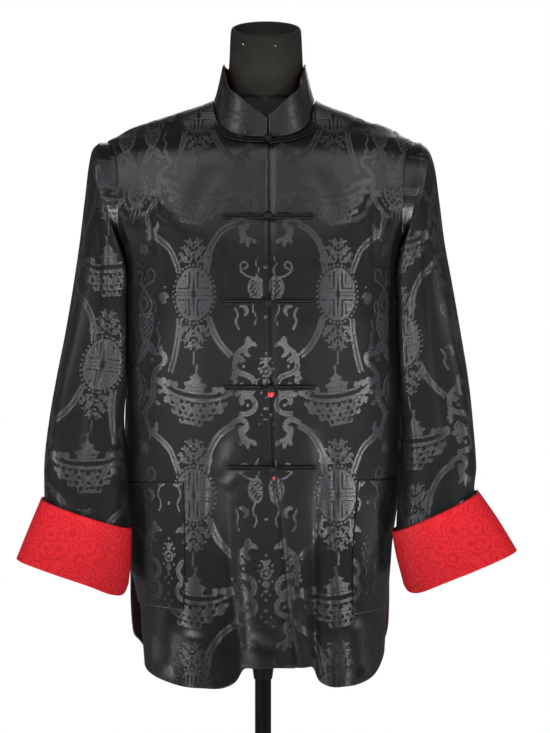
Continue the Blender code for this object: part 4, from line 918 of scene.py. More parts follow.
def panelPlaces(sign, toBack, columns, spacing):
    # Angle and height of each place of a front (toBack -1) or half the back (1), row by row from the
    # hem. Below the armpit a row runs from the centre to the side. Above it a coarse patch is blended
    # from its edges, evened out, and then read off finely.
    vent = vents[("front" if toBack < 0 else "back") + ("Left" if sign < 0 else "Right")]

    def start(z):
        if toBack > 0:
            return np.full(np.shape(z), sign * 180.0)
        return angleAt(frontEdge(z) + (0 if sign < 0 else lapEnd), z)

    def side(z):
        return 90 + toBack * seamAngle(z)

    def lowRow(u, t):
        z = np.full(len(u), armpitZ)
        for _ in range(4):
            angle = start(z) + (sign * (side(z) + toBack * vent(z)) - start(z)) * u
            low = hem(angle)
            z = low + (armpitZ - low) * t
        return np.stack([angle, z], axis=-1)

    coarseHigh = np.linspace(0, 1, panelSize["coarse"])
    u = panelColumns(*columns)
    v = np.sin(coarseHigh * math.pi / 2)
    z = neckPointZ + (shoulderZ - neckPointZ) * np.clip((u - neckShare) / (1 - neckShare), 0, 1)
    angle = np.where(u < neckShare, panelNeck(sign, toBack, u), sign * side(z))
    top = np.stack([angle, np.where(u < neckShare, neckline(np.abs(angle)), z)], axis=-1)
    z = armpitZ + (float(neckline(0.0 if toBack < 0 else 180.0)) - armpitZ) * v
    left = np.stack([start(z), z], axis=-1)
    angle, z = armhole(sign, 180 + toBack * 360 / math.pi * np.arcsin(v))
    right = np.stack([sign * toBack * np.maximum(toBack * np.abs(angle), toBack * side(z)), z], axis=-1)
    low = lowRow(u, 1.0)
    patch = coonsPatch(onBody(low)[None], onBody(top)[None], onBody(left)[:, None], onBody(right)[:, None],
                       *np.meshgrid(u, v))
    # evened out less towards the armhole
    relax = 1 - easeIn((u[1:-1] - panelSize["relaxFrom"]) / panelSize["relaxOver"])[:, None]
    for _ in range(relaxRounds):
        inner = (patch[:-2, 1:-1] + patch[2:, 1:-1] + patch[1:-1, :-2] + patch[1:-1, 2:]) / 4
        patch[1:-1, 1:-1] += relax * (onBody(placeOf(inner)) - patch[1:-1, 1:-1])
    upper = np.concatenate([low[None], placeOf(patch)[1:]], axis=0)
    if toBack > 0:
        upper[..., 0] = sign * np.abs(upper[..., 0])
    fine = steps(panelSize["across"], spacing)
    upper = readAlong(readAlong(upper, u, fine, 1), coarseHigh, steps(panelSize["high"], spacing), 0)
    lower = np.array([lowRow(fine, t) for t in steps(panelSize["low"], spacing)])
    return np.concatenate([lower, upper[1:]], axis=0), len(lower) - 1


def sleevePoint(table, sign, around, along, out=0.0):
    # Points of a sleeve or cuff: around is 0 on the outer line and grows towards the front.
    firstDip, lastDip = (0.9, 0.0) if table["rows"][0][0] == 0 else (0.88, 1.0)
    around, along = np.broadcast_arrays(np.asarray(around, float), np.asarray(along, float))
    read = {name: smoothCurve(table, name)(along) for name in sleeveColumns[1:]}
    turn = np.radians(around)
    c, s = np.cos(turn), np.sin(turn)
    power = 2 / read["power"]
    up = np.sign(c) * np.abs(c) ** power
    fore = np.sign(s) * np.abs(s) ** power
    x = up * (read["outerX"] - read["innerX"]) / 2
    z = (read["outerZ"] + read["innerZ"]) / 2 + up * (read["outerZ"] - read["innerZ"]) / 2
    y = fore * (read["frontY"] - read["backY"]) / 2
    tall = np.hypot(read["outerX"] - read["innerX"], read["outerZ"] - read["innerZ"]) / 2
    deep = (read["backY"] - read["frontY"]) / 2
    away = np.stack([c * deep, s * tall], axis=-1)
    away /= np.linalg.norm(away, axis=-1, keepdims=True)
    moved = np.asarray(out) * np.ones(x.shape)
    x = x + away[..., 0] * moved * (read["outerX"] - read["innerX"]) / 2 / tall
    z = z + away[..., 0] * moved * (read["outerZ"] - read["innerZ"]) / 2 / tall
    y = y - away[..., 1] * moved
    x = x - sign * leanPerTurn * read["turn"] * fore * (1 - up) / 2
    swing = -sign * np.radians(read["turn"])
    x, y = x * np.cos(swing) - y * np.sin(swing), x * np.sin(swing) + y * np.cos(swing)
    x = x + (read["outerX"] + read["innerX"]) / 2
    y = y + (read["frontY"] + read["backY"]) / 2
    z = z + dip[sign](around) * easeIn((along - firstDip) / (lastDip - firstDip))
    return np.stack([x, y, z], axis=-1)


def sleeveFolds(around, along):
    # How far the folds move a sleeve's cloth outwards.
    moved = np.zeros(np.broadcast(around, along).shape)
    for row in sleeveFoldTable["rows"]:
        f = dict(zip(sleeveFoldTable["columns"], row))
        share = np.clip((along - f["top"]) / (f["low"] - f["top"]), 0, 1)
        centre = f["aroundTop"] + (f["aroundLow"] - f["aroundTop"]) * share
        off = (around - centre + 180) % 360 - 180
        fade = easeIn(share / 0.3) * easeIn((1 - share) / 0.25)
        moved = moved + f["depth"] * np.exp(-((off / f["width"]) ** 2)) * fade
    return moved


headGap = {"in": 0.0004, "out": 0.0006}     # between a sleeve's head and the body


def sleeveRings(table, sign, around, along):
    # The armhole ring, drawn in a little, then the rings of the table with their folds.
    uu, vv = np.meshgrid(around, along)
    rings = sleevePoint(table, sign, uu, vv, sleeveFolds(uu, vv))
    angle, z = armhole(sign, around)
    head = foldedBody(angle, z)
    middle = head.mean(axis=0)
    inwards = middle - head
    inwards[:, 0] = 0
    inwards /= np.linalg.norm(inwards, axis=1, keepdims=True)
    head = head + inwards * headGap["in"]
    head[:, 0] += sign * headGap["out"]
    return np.concatenate([head[None], rings], axis=0)


def lapShare(x, z):
    # 1 where the left front lies under the right one, down to 0 beside it.
    return easeIn((frontEdge(z) + lapEnd - x) / (lapEnd - lapColumns[-1]))


def collarPoints(out, fromLow, fromTop, shares):
    # The band's outside, foot to top, from its end over the left front to its end on the right one.
    offsets = frontEdge(centreNeckZ) + np.append(np.linspace(collarCut["end"], lapEnd, 6), -collarCut["end"])
    ends = [float(angleAt(x, centreNeckZ)) for x in offsets]
    left, right = [[panelNeck(sign, toBack, neckColumns) for toBack in (-1, 1)] for sign in (1, -1)]
    angles = np.concatenate([ends[:6], left[0], [90], left[1][::-1], [180], right[1], [-90], right[0][::-1],
                             ends[6:]])
    folded = np.abs(angles)
    footZ = neckline(folded)
    foot = plainBody(angles, footZ)
    run = np.gradient(foot[:, :2], axis=0)
    level = np.column_stack([run[:, 1], -run[:, 0]]) / np.linalg.norm(run, axis=1, keepdims=True)
    rows = []
    for share in shares:
        inward = lean(folded) * share ** 0.8 + collarInside - out
        height = fromLow + (tall(folded) - fromTop - fromLow) * share
        rows.append(np.column_stack([foot[:, :2] - level * inward[:, None], footZ + height]))
    return np.array(rows)


# Main creases and soft swells, each a path in metres on the cloth (across, up) with its width and
# depth. The fronts, the right one first.
frontCreases = {
    "columns": ("path", "width", "depth"),
    "rows": (
        (((-0.046, 0.95), (-0.055, 0.905), (-0.050, 0.80), (-0.040, 0.72), (-0.033, 0.655)), 0.0110, -0.0022),
        (((-0.028, 0.905), (-0.044, 0.890), (-0.058, 0.880)), 0.0060, -0.0005),
        (((-0.023, 0.690), (-0.006, 0.680), (0.010, 0.671)), 0.0070, -0.0006),
        (((-0.055, 1.196), (-0.054, 1.160), (-0.056, 1.118)), 0.0035, -0.0011),
        (((-0.165, 1.262), (-0.150, 1.236), (-0.128, 1.222)), 0.0050, -0.0014),
        (((-0.172, 1.238), (-0.160, 1.214), (-0.150, 1.180)), 0.0050, -0.0016),
        (((-0.075, 1.110), (-0.079, 1.040), (-0.074, 0.975)), 0.0160, 0.0012),
        (((-0.118, 1.080), (-0.112, 1.000), (-0.120, 0.930)), 0.0180, -0.0012),
        (((-0.150, 1.150), (-0.158, 1.080), (-0.166, 1.000)), 0.0110, -0.0013),
        (((-0.090, 0.700), (-0.095, 0.670), (-0.094, 0.630)), 0.0120, -0.0014),
        (((-0.030, 1.060), (-0.034, 1.000), (-0.030, 0.940)), 0.0130, 0.0009),
        (((-0.120, 0.720), (-0.126, 0.680), (-0.132, 0.632)), 0.0090, 0.0014),
        (((-0.060, 1.300), (-0.085, 1.270), (-0.100, 1.225)), 0.0120, -0.0010),
        (((0.062, 0.960), (0.066, 0.90), (0.064, 0.83), (0.066, 0.76), (0.070, 0.66)), 0.0105, -0.0020),
        (((0.078, 0.880), (0.082, 0.800), (0.088, 0.730), (0.092, 0.64)), 0.0100, 0.0016),
        (((0.066, 0.695), (0.072, 0.675), (0.077, 0.655)), 0.0060, -0.0010),
        (((0.050, 1.110), (0.054, 1.050), (0.050, 0.980)), 0.0150, 0.0012),
        (((0.096, 1.070), (0.102, 1.000), (0.098, 0.940)), 0.0160, -0.0012),
        (((0.132, 1.120), (0.140, 1.050), (0.146, 0.980)), 0.0110, 0.0012),
        (((0.155, 1.232), (0.148, 1.206), (0.146, 1.170)), 0.0050, -0.0016),
        (((0.150, 1.262), (0.136, 1.238), (0.112, 1.226)), 0.0050, -0.0012),
        (((0.024, 0.720), (0.030, 0.680), (0.036, 0.640)), 0.0090, 0.0012),
        (((0.120, 0.712), (0.124, 0.672), (0.128, 0.632)), 0.0090, -0.0014),
        (((0.060, 1.296), (0.082, 1.266), (0.096, 1.222)), 0.0120, -0.0010),
    ),
}
backCreases = {
    "columns": ("path", "width", "depth"),
    "rows": (
        (((-0.060, 1.02), (-0.066, 0.90), (-0.062, 0.78), (-0.066, 0.65)), 0.0085, -0.0024),
        (((0.070, 1.00), (0.064, 0.88), (0.070, 0.76), (0.074, 0.65)), 0.0085, -0.0022),
        (((-0.012, 0.88), (-0.008, 0.78), (-0.012, 0.66)), 0.0140, 0.0016),
        (((0.030, 1.16), (0.034, 1.08), (0.028, 1.00)), 0.0150, -0.0012),
        (((-0.110, 1.22), (-0.104, 1.12), (-0.112, 1.02)), 0.0140, -0.0014),
        (((0.116, 1.24), (0.108, 1.14), (0.118, 1.04)), 0.0130, -0.0014),
        (((-0.150, 1.26), (-0.138, 1.23), (-0.120, 1.21)), 0.0055, -0.0016),
        (((0.150, 1.26), (0.136, 1.23), (0.116, 1.20)), 0.0055, -0.0016),
        (((-0.130, 0.90), (-0.136, 0.80), (-0.130, 0.68)), 0.0110, 0.0015),
        (((0.134, 0.92), (0.128, 0.80), (0.136, 0.68)), 0.0110, 0.0015),
        (((-0.034, 1.30), (0.0, 1.285), (0.036, 1.30)), 0.0100, -0.0012),
    ),
}


# A crease fades over a share of its length from a low start, and has a soft lip at each side
creaseForm = {"fade": 0.22, "start": 0.05, "lip": 0.28, "lipAt": 2.1}


def creaseDepth(u, v, creases):
    # How far the listed creases move the cloth out, fading at each end.
    moved = np.zeros(u.shape)
    for path, width, depth in creases["rows"]:
        path = np.array(path)
        near = ((u > path[:, 0].min() - 3 * width) & (u < path[:, 0].max() + 3 * width)
                & (v > path[:, 1].min() - 3 * width) & (v < path[:, 1].max() + 3 * width))
        if not near.any():
            continue
        x, y = u[near], v[near]
        best, place = np.full(x.shape, 9.0), np.zeros(x.shape)
        for k, (a, b) in enumerate(zip(path, path[1:])):
            step = b - a
            t = np.clip(((x - a[0]) * step[0] + (y - a[1]) * step[1]) / (step @ step), 0, 1)
            off = np.hypot(x - a[0] - t * step[0], y - a[1] - t * step[1])
            closer = off < best
            best, place = np.where(closer, off, best), np.where(closer, (k + t) / (len(path) - 1), place)
        ends = [easeIn(part / creaseForm["fade"] + creaseForm["start"]) for part in (place, 1 - place)]
        lip = creaseForm["lip"] * np.exp(-(((best - creaseForm["lipAt"] * width) / width) ** 2))
        moved[near] += depth * (np.exp(-((best / width) ** 2)) - lip) * (ends[0] * ends[1])
    return moved


def readAlong(values, knots, at, axis):
    # Values read between their knots along one axis, smoothly and true to straight lines.
    values = np.moveaxis(np.asarray(values, float), axis, 0)
    knots, at = np.asarray(knots, float), np.asarray(at, float)
    shape = (-1,) + (1,) * (values.ndim - 1)
    span = np.diff(knots).reshape(shape)
    step = np.diff(values, axis=0) / span
    slope = np.concatenate([step[:1], (step[:-1] * span[1:] + step[1:] * span[:-1])
                            / (span[1:] + span[:-1]), step[-1:]])
    i = np.clip(np.searchsorted(knots, at, side="right") - 1, 0, len(knots) - 2)
    t = ((at - knots[i]) / np.diff(knots)[i]).reshape(shape)
    h = span[i]
    read = ((2 * t**3 - 3 * t**2 + 1) * values[i] + (t**3 - 2 * t**2 + t) * h * slope[i]
            + (3 * t**2 - 2 * t**3) * values[i + 1] + (t**3 - t**2) * h * slope[i + 1])
    return np.moveaxis(read, 0, axis)


# How each cloth is finished: its turned edges, from the outermost line inwards, and the depth at
# which the lining lies under the damask
clothEdges = {"panel": (0.0019, 0.0012, 0.0004), "cuff": (0.0022, 0.0014, 0.0005),
              "collar": (0.0018, 0.0011, 0.0004), "pocket": (0.0014, 0.0008, 0.0003), "lining": 0.0019}
bodyMiddle = np.array((0, 0, 1.0))
bodyFigure = (0.0, -1.130)      # moves the woven figure to where the body has it


def repeatEnds(count, depths):
    # Line numbers with the end ones repeated for a turned edge, and how far inside each line lies.
    ends = len(depths)
    lines = np.concatenate([[0] * ends, np.arange(count), [count - 1] * ends])
    return lines, np.concatenate([depths, np.zeros(count), depths[::-1]])


def everyNth(first, count, step):
    # Every nth line number, with the last one.
    return np.unique(np.append(np.arange(first, count, step), count - 1))


def steps(length, spacing):
    # Shares along a length, in even steps.
    return np.linspace(0, 1, max(int(round(length / spacing)), 2) + 1)


def gridMesh(name, points, uv, figure=None, weld=False):
    # A bmesh grid with its vertices moved to their places, the cloth's map and its woven figure.
    rows, columns = points.shape[:2]
    bm = bmesh.new()
    bmesh.ops.create_grid(bm, x_segments=columns - 1, y_segments=rows - 1, size=1.0)
    mesh = bpy.data.meshes.new(name)
    bm.to_mesh(mesh)
    bm.free()
    mesh.vertices.foreach_set("co", points.reshape(-1).astype(np.float32))
    corners = np.empty(len(mesh.loops), np.int32)
    mesh.loops.foreach_get("vertex_index", corners)
    layer = mesh.uv_layers.new(name="cloth")
    layer.data.foreach_set("uv", uv.reshape(-1, 2)[corners].reshape(-1).astype(np.float32))
    if figure:
        values = figureAt(uv[..., 0].reshape(-1) + figure[0], uv[..., 1].reshape(-1) + figure[1])
        mesh.attributes.new("motif", "FLOAT", "POINT").data.foreach_set("value", values.astype(np.float32))
    if weld:
        bm = bmesh.new()
        bm.from_mesh(mesh)
        bm.verts.ensure_lookup_table()
        ends = [bm.verts[r * columns + c] for r in range(rows) for c in (0, columns - 1)]
        bmesh.ops.remove_doubles(bm, verts=ends, dist=1e-5)
        bm.to_mesh(mesh)
        bm.free()
    return mesh


def meshFrom(name, bm):
    # The bmesh as a mesh.
    mesh = bpy.data.meshes.new(name)
    bm.to_mesh(mesh)
    bm.free()
    return mesh


def joinDoubles(bm):
    # Vertices at one place joined, and the faces turned out.
    bmesh.ops.remove_doubles(bm, verts=bm.verts[:], dist=1e-6)
    bmesh.ops.recalc_face_normals(bm, faces=bm.faces[:])


def addPiece(mesh, finish, slotName, *nodes):
    # A smooth piece of the one body, which takes the place of its CAD nodes.
    mesh.shade_smooth()
    mesh.materials.append(finish)
    made = bpy.data.objects.new(mesh.name, mesh)
    scene.collection.objects.link(made)
    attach(made, "root")
    if nodes:
        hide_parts(*nodes)
    return made


def addCloth(name, points, uv, *nodes, figure=None, middle=None, inner=False, weld=False):
    # A cloth piece with its faces turned away from its middle, or an inner one with them towards it.
    # With a place for the woven figure it is damask, and otherwise lining.
    points = points + (hangX, 0, 0)
    middle = points.mean(axis=1, keepdims=True) if middle is None else middle
    normal = np.cross(np.gradient(points, axis=1), np.gradient(points, axis=0))
    if (np.sum(normal * (points - middle)) < 0) != inner:
        points, uv = points[:, ::-1], uv[:, ::-1]
    finish = (damask, "black_damask") if figure else (lining, "red_lining")
    return addPiece(gridMesh(name, points, uv, figure, weld), *finish, *nodes)


def betweenCells(grid, side, column, row):
    # Values read between the cells of one of two grids.
    i, j = column.astype(int), row.astype(int)
    fi, fj = column - i, row - j
    return ((1 - fi) * (1 - fj) * grid[side, j, i] + fi * (1 - fj) * grid[side, j, i + 1]
            + (1 - fi) * fj * grid[side, j + 1, i] + fi * fj * grid[side, j + 1, i + 1])


def roundLengths():
    # Lengths round the body at each height and turn, from the centre front and from the centre back.
    table, heights = np.linspace(0, 178, 90), np.linspace(0.60, 1.40, 81)
    grids = []
    for turn in (table, 180 - table):
        grid = np.zeros((2, len(heights), len(table)))
        for side, sign in enumerate((-1, 1)):
            ring = plainBody(sign * np.broadcast_to(turn, (len(heights), len(table))), heights[:, None])
            grid[side, :, 1:] = np.cumsum(np.linalg.norm(np.diff(ring[..., :2], axis=1), axis=-1), axis=1)
        grids.append(grid)
    return grids


lengthsRound = roundLengths()
shoulderSlant = ((0, 0.08, 0.12, 0.15, 0.24), (0, 0.003, 0.008, 0.017, 0.034))


def bodyMap(angle, z, points, armpitRow, fromBack=False):
    # The body's cloth map: u runs round from the centre front or back, v up the cloth.
    flat = np.where(angle < 0, angle + 180, angle - 180) if fromBack else angle
    column, row = np.clip(np.abs(flat) / 2, 0, 88.999), np.clip((z - 0.60) / 0.01, 0, 79.999)
    u = betweenCells(lengthsRound[int(fromBack)], (angle > 0).astype(int), column, row) * np.sign(angle)
    # above the armpit the grain runs straight up to the shoulder
    x = points[..., 0]
    sheer = x + np.sign(x) * np.interp(np.abs(x), *shoulderSlant)
    u = u + (sheer - u) * easeIn((z - armpitZ) / 0.07)
    v = z.copy()
    for r in range(armpitRow + 1, len(z)):
        move = points[r] - points[r - 1]
        v[r] = v[r - 1] + np.sqrt(np.maximum((move ** 2).sum(axis=-1) - (u[r] - u[r - 1]) ** 2, 0))
    return np.stack([u, v], axis=-1)


def keptInside(depth, reach=4):
    # The lowest depth near each place, so that a coarser sheet stays under its creases.
    low = depth.copy()
    for axis in (0, 1):
        start = low.copy()
        for k in range(-reach, reach + 1):
            low = np.minimum(low, np.roll(start, k, axis=axis))
    return low


# Armholes: the valley where a sleeve leaves the body is eased out, least under the arm
armholeEase = {"reach": 0.032, "wide": 0.010, "fade": ((0, 66, 100, 132, 172, 180), (1, 1, 0.75, 0.30, 0, 0)),
               "most": 0.0085}


def armholeCurve(sign):
    # Places round an armhole, and how far its seam moves outwards there.
    around = np.arange(0, 360, 2.0)
    angle, z = armhole(sign, around)
    seam = foldedBody(angle, z)
    turn = np.radians(around)
    middleZ, halfZ = (shoulderZ + armpitZ) / 2, (shoulderZ - armpitZ) / 2
    highZ = middleZ + (halfZ + armholeEase["wide"]) * np.cos(turn)
    fore = (armholeHalfY + armholeEase["wide"]) * np.sin(turn)
    depth = np.where(fore > 0, body["front"](highZ), body["back"](highZ))
    off = np.degrees(np.arccos(np.clip(np.abs(fore) / depth, 0, 1) ** (body["power"](highZ) / 2)))
    before = foldedBody(sign * np.where(fore > 0, off, 180 - off), highZ)
    after = sleevePoint(sleeveRightRings if sign < 0 else sleeveLeftRings, sign, around, 0.09)
    inTo, outOf = seam - before, after - seam
    inTo /= np.linalg.norm(inTo, axis=1, keepdims=True)
    outOf /= np.linalg.norm(outOf, axis=1, keepdims=True)
    run = np.roll(seam, -1, axis=0) - np.roll(seam, 1, axis=0)
    run /= np.linalg.norm(run, axis=1, keepdims=True)
    face = np.cross(run, inTo + outOf)
    face /= np.maximum(np.linalg.norm(face, axis=1, keepdims=True), 1e-9)
    face *= np.sign(np.sum(face * (seam - seam.mean(axis=0)), axis=1).sum())
    bend = np.sum((outOf - inTo) * face, axis=1)
    spread = np.minimum(around, 360 - around)
    amount = (np.clip(bend * armholeEase["reach"] / 4, 0, armholeEase["most"])
              * np.interp(spread, *armholeEase["fade"]))
    for _ in range(6):
        amount = (np.roll(amount, 1) + 2 * amount + np.roll(amount, -1)) / 4
    return seam, face * amount[:, None]


armholeCurves = {sign: armholeCurve(sign) for sign in (-1, 1)}
for sign, (seam, move) in armholeCurves.items():
    print("armhole", sign, "moves up to", round(float(np.linalg.norm(move, axis=1).max()) * 1000, 1), "mm")


def easedArmhole(points, signs=(-1, 1)):
    # Points near an armhole moved with its seam, less with their distance from it.
    flat = points.reshape(-1, 3).copy()
    for sign in signs:
        seam, move = armholeCurves[sign]
        low, high = seam.min(axis=0) - armholeEase["reach"], seam.max(axis=0) + armholeEase["reach"]
        near = np.flatnonzero(((flat > low) & (flat < high)).all(axis=1))
        for part in np.array_split(near, max(len(near) // 4000, 1)):
            if not len(part):
                continue
            gap = np.linalg.norm(flat[part][:, None] - seam[None], axis=-1)
            best = gap.argmin(axis=1)
            share = np.clip(1 - gap[np.arange(len(part)), best] / armholeEase["reach"], 0, 1) ** 2
            flat[part] += move[best] * share[:, None]
    return flat.reshape(points.shape)


sideFill = {"angle": 88, "wide": 16,
            "z": (0.80, 0.85, 0.90, 0.95, 1.00, 1.06, 1.12, 1.15, 1.18, 1.20, 1.24),
            "out": (0, 0.0008, 0.0014, 0.0012, 0.0004, 0.0010, 0.0014, 0.0024, 0.0034, 0.0030, 0)}


def sideSwell(angle, z):
    # The body's side filled out a little where the sleeves hang against it.
    side = np.exp(-(((np.abs(angle) - sideFill["angle"]) / sideFill["wide"]) ** 2))
    return side * np.interp(z, sideFill["z"], sideFill["out"])


def panelSheet(name, places, armpitRow, out, creases, facing, fromBack=False):
    # One panel: the damask outside with its turned edges, and the red lining inside. The lining stops
    # short of the vents and the hem, where the damask is turned in as a facing.
    angle, z = places[..., 0], places[..., 1]
    uv = bodyMap(angle, z, foldedBody(angle, z, out), armpitRow, fromBack)
    extra = creaseDepth(uv[..., 0], uv[..., 1], creases) + sideSwell(angle, z)
    r, rowDeep = repeatEnds(len(z), clothEdges["panel"])
    c, columnDeep = repeatEnds(len(z[0]), clothEdges["panel"])
    inward = np.maximum(rowDeep[:, None], columnDeep)
    # the armhole's edge is sewn, so it turns in less
    share = np.arange(len(c)) / len(c)
    sewn = (share > 0.9) | (fromBack & (share < 0.1))
    above = z[r][:, c] > armpitZ - 0.004
    inward = np.where(sewn & above & (rowDeep[:, None] == 0), inward * 0.2, inward)
    full = easedArmhole(foldedBody(angle[r][:, c], z[r][:, c], (out + extra)[r][:, c] - inward))
    shell = addCloth("cloth_" + name, full, uv[r][:, c], name, figure=bodyFigure, middle=bodyMiddle)
    r = everyNth(facing[2], len(z), 4)
    c = everyNth(facing[0], len(z[0]) - facing[1], 2)
    depth = (out + keptInside(extra))[r][:, c] - clothEdges["lining"]
    inner = easedArmhole(foldedBody(angle[r][:, c], z[r][:, c], depth))
    back = addCloth("lining_" + name, inner, uv[r][:, c], middle=bodyMiddle, inner=True)
    return shell


# Fronts. The left one runs on under the right one. A facing is counted in columns at the centre and at
# the side, and in rows at the hem.
frontCut = {"columns": (8, 9), "spacing": 0.0018, "facing": (3, 3, 8)}
shells = {}
for name, sign in (("front_right", -1), ("front_left", 1)):
    places, armpitRow = panelPlaces(sign, -1, frontCut["columns"], frontCut["spacing"])
    if sign > 0:
        z = places[:, 0, 1]
        lapped = [np.stack([angleAt(frontEdge(z) + dx, z), z], axis=-1)
                  for dx in np.arange(lapColumns[0], lapEnd - 0.0012, frontCut["spacing"])]
        places = np.concatenate([np.stack(lapped, axis=1), places], axis=1)
    out = -tuckIn(places[..., 0], places[..., 1])
    if sign > 0:
        out = out - lapDepth * lapShare(onBody(places)[..., 0], places[..., 1])
    shells[name] = panelSheet(name, places, armpitRow, out, frontCreases, frontCut["facing"])

# Back, one piece
backCut = {"columns": (6, 8), "spacing": 0.0024, "facing": (2, 34, 5)}
(left, armpitRow), (right, armpitRow) = [panelPlaces(sign, 1, backCut["columns"], backCut["spacing"])
                                         for sign in (1, -1)]
places = np.concatenate([left[:, ::-1], right[:, 1:]], axis=1)
shells["back"] = panelSheet("back", places, armpitRow, np.zeros(places.shape[:2]), backCreases,
                            backCut["facing"], fromBack=True)
print("fronts and back made")

# Sleeves and cuffs
sleeveCut = {"spacing": 0.0023, "round": 0.44, "down": 0.62, "start": 0.04, "headRings": (0.04, 0.09, 0.15),
             "headKnots": (0.0, 0.026, 0.062, 0.105), "headRows": 9, "allowance": (0.0022, 0.0008),
             "cuffRows": 40, "liningBelow": 0.055,
             "figure": {-1: (0.012, 0.050), 1: (-0.0146, 0.0157)}}
# across from the outer line towards the front, and down from the shoulder, width, depth
sleeveCreases = {
    -1: {"rows": (
        (((0.060, 0.10), (0.066, 0.22), (0.060, 0.36), (0.070, 0.50)), 0.0120, -0.0022),
        (((0.104, 0.06), (0.112, 0.17), (0.118, 0.30), (0.112, 0.44)), 0.0110, 0.0020),
        (((0.140, 0.12), (0.134, 0.24), (0.144, 0.40), (0.140, 0.54)), 0.0090, -0.0022),
        (((0.020, 0.20), (0.026, 0.34), (0.022, 0.50)), 0.0120, 0.0016),
        (((0.160, 0.07), (0.146, 0.11), (0.128, 0.16)), 0.0055, -0.0018),
        (((0.170, 0.12), (0.152, 0.17), (0.136, 0.24)), 0.0060, -0.0016),
        (((0.090, 0.40), (0.084, 0.46), (0.092, 0.55)), 0.0080, -0.0018),
        (((0.050, 0.44), (0.044, 0.50), (0.050, 0.57)), 0.0070, 0.0016),
        (((-0.060, 0.12), (-0.066, 0.28), (-0.060, 0.46)), 0.0110, -0.0022),
        (((-0.110, 0.10), (-0.104, 0.26), (-0.110, 0.44)), 0.0120, 0.0018),
        (((-0.150, 0.08), (-0.136, 0.16), (-0.130, 0.30)), 0.0080, -0.0018),
    )},
    1: {"rows": (
        (((0.052, 0.12), (0.058, 0.24), (0.054, 0.38), (0.064, 0.52)), 0.0120, -0.0022),
        (((0.094, 0.08), (0.104, 0.20), (0.108, 0.33), (0.100, 0.46)), 0.0110, 0.0020),
        (((0.132, 0.10), (0.128, 0.24), (0.136, 0.42), (0.132, 0.54)), 0.0090, -0.0022),
        (((0.112, 0.030), (0.104, 0.050), (0.100, 0.085)), 0.0042, -0.0020),
        (((0.088, 0.034), (0.100, 0.052), (0.100, 0.080)), 0.0042, -0.0018),
        (((0.022, 0.16), (0.028, 0.32), (0.024, 0.50)), 0.0120, 0.0016),
        (((0.160, 0.08), (0.144, 0.12), (0.126, 0.18)), 0.0055, -0.0018),
        (((0.078, 0.42), (0.072, 0.48), (0.080, 0.56)), 0.0080, -0.0018),
        (((-0.055, 0.12), (-0.062, 0.28), (-0.056, 0.46)), 0.0110, -0.0022),
        (((-0.106, 0.10), (-0.100, 0.26), (-0.106, 0.44)), 0.0120, 0.0018),
        (((-0.146, 0.08), (-0.132, 0.16), (-0.126, 0.30)), 0.0080, -0.0018),
    )},
}
cuffCreases = {"rows": (
    (((0.070, 0.010), (0.060, 0.040), (0.056, 0.075)), 0.0040, -0.0012),
    (((0.110, 0.004), (0.118, 0.040), (0.112, 0.078)), 0.0090, 0.0010),
    (((0.028, 0.006), (0.034, 0.036), (0.030, 0.070)), 0.0080, 0.0009),
    (((-0.080, 0.006), (-0.074, 0.040), (-0.080, 0.076)), 0.0090, -0.0011),
    (((-0.130, 0.010), (-0.136, 0.046), (-0.130, 0.074)), 0.0080, 0.0010),
)}
# how far a sleeve is drawn towards the body along its inner line, so that no light shows between them
closeUp = {"share": (0.04, 0.12, 0.18, 0.26, 0.34, 0.45, 0.56, 0.66, 0.80, 0.92),
           -1: (0, 0.0030, 0.0052, 0.0040, 0.0018, 0.0026, 0.0014, 0.0010, 0.0016, 0),
           1: (0, 0.0034, 0.0056, 0.0044, 0.0020, 0.0030, 0.0020, 0.0024, 0.0026, 0)}
turns = np.linspace(180, 540, int(sleeveCut["round"] / sleeveCut["spacing"]) + 1)
outer = int(np.argmin(np.abs(turns - 360)))
around = turns % 360
around[-1] = 180.0
alongFine = np.linspace(sleeveCut["start"], 1.0, int(sleeveCut["down"] / sleeveCut["spacing"]))
alongCuff = np.linspace(0, 1, sleeveCut["cuffRows"])


def tubeMap(points, outerColumn):
    # A sleeve's own map: v runs down the arm and u round it, square to that, from the outer line.
    ends = points.mean(axis=1)
    arm = (ends[-1] - ends[0]) / np.linalg.norm(ends[-1] - ends[0])
    down = (points - ends[0]) @ arm
    move = np.diff(points, axis=1)
    ringStep = np.sqrt(np.maximum((move ** 2).sum(axis=-1) - (move @ arm) ** 2, 0))
    u = np.zeros(points.shape[:2])
    u[:, 1:] = np.cumsum(ringStep, axis=1)
    return np.stack([u - u[:, outerColumn:outerColumn + 1], down.min() - down], axis=-1)


def sleeveSkin(table, sign, head, creases, depth):
    # The whole sleeve with the listed creases, moved in by a depth.
    uu, vv = np.meshgrid(around, alongFine)
    arm = sleevePoint(table, sign, uu, vv, sleeveFolds(uu, vv) + creases[len(head):] - depth)
    normal = np.cross(np.gradient(head, axis=1), np.gradient(head, axis=0))
    normal /= np.maximum(np.linalg.norm(normal, axis=-1, keepdims=True), 1e-9)
    if np.sum(normal * (head - head.mean(axis=(0, 1)))) < 0:
        normal = -normal
    whole = np.concatenate([head + normal * (creases[:len(head)] - depth)[..., None], arm], axis=0)
    shares = np.concatenate([np.linspace(0, sleeveCut["start"], len(head)), alongFine])
    inwards = ((1 - np.cos(np.radians(around))) / 2) ** 2
    whole[..., 0] -= sign * inwards * np.interp(shares, closeUp["share"], closeUp[sign])[:, None]
    return easedArmhole(whole, (sign,))


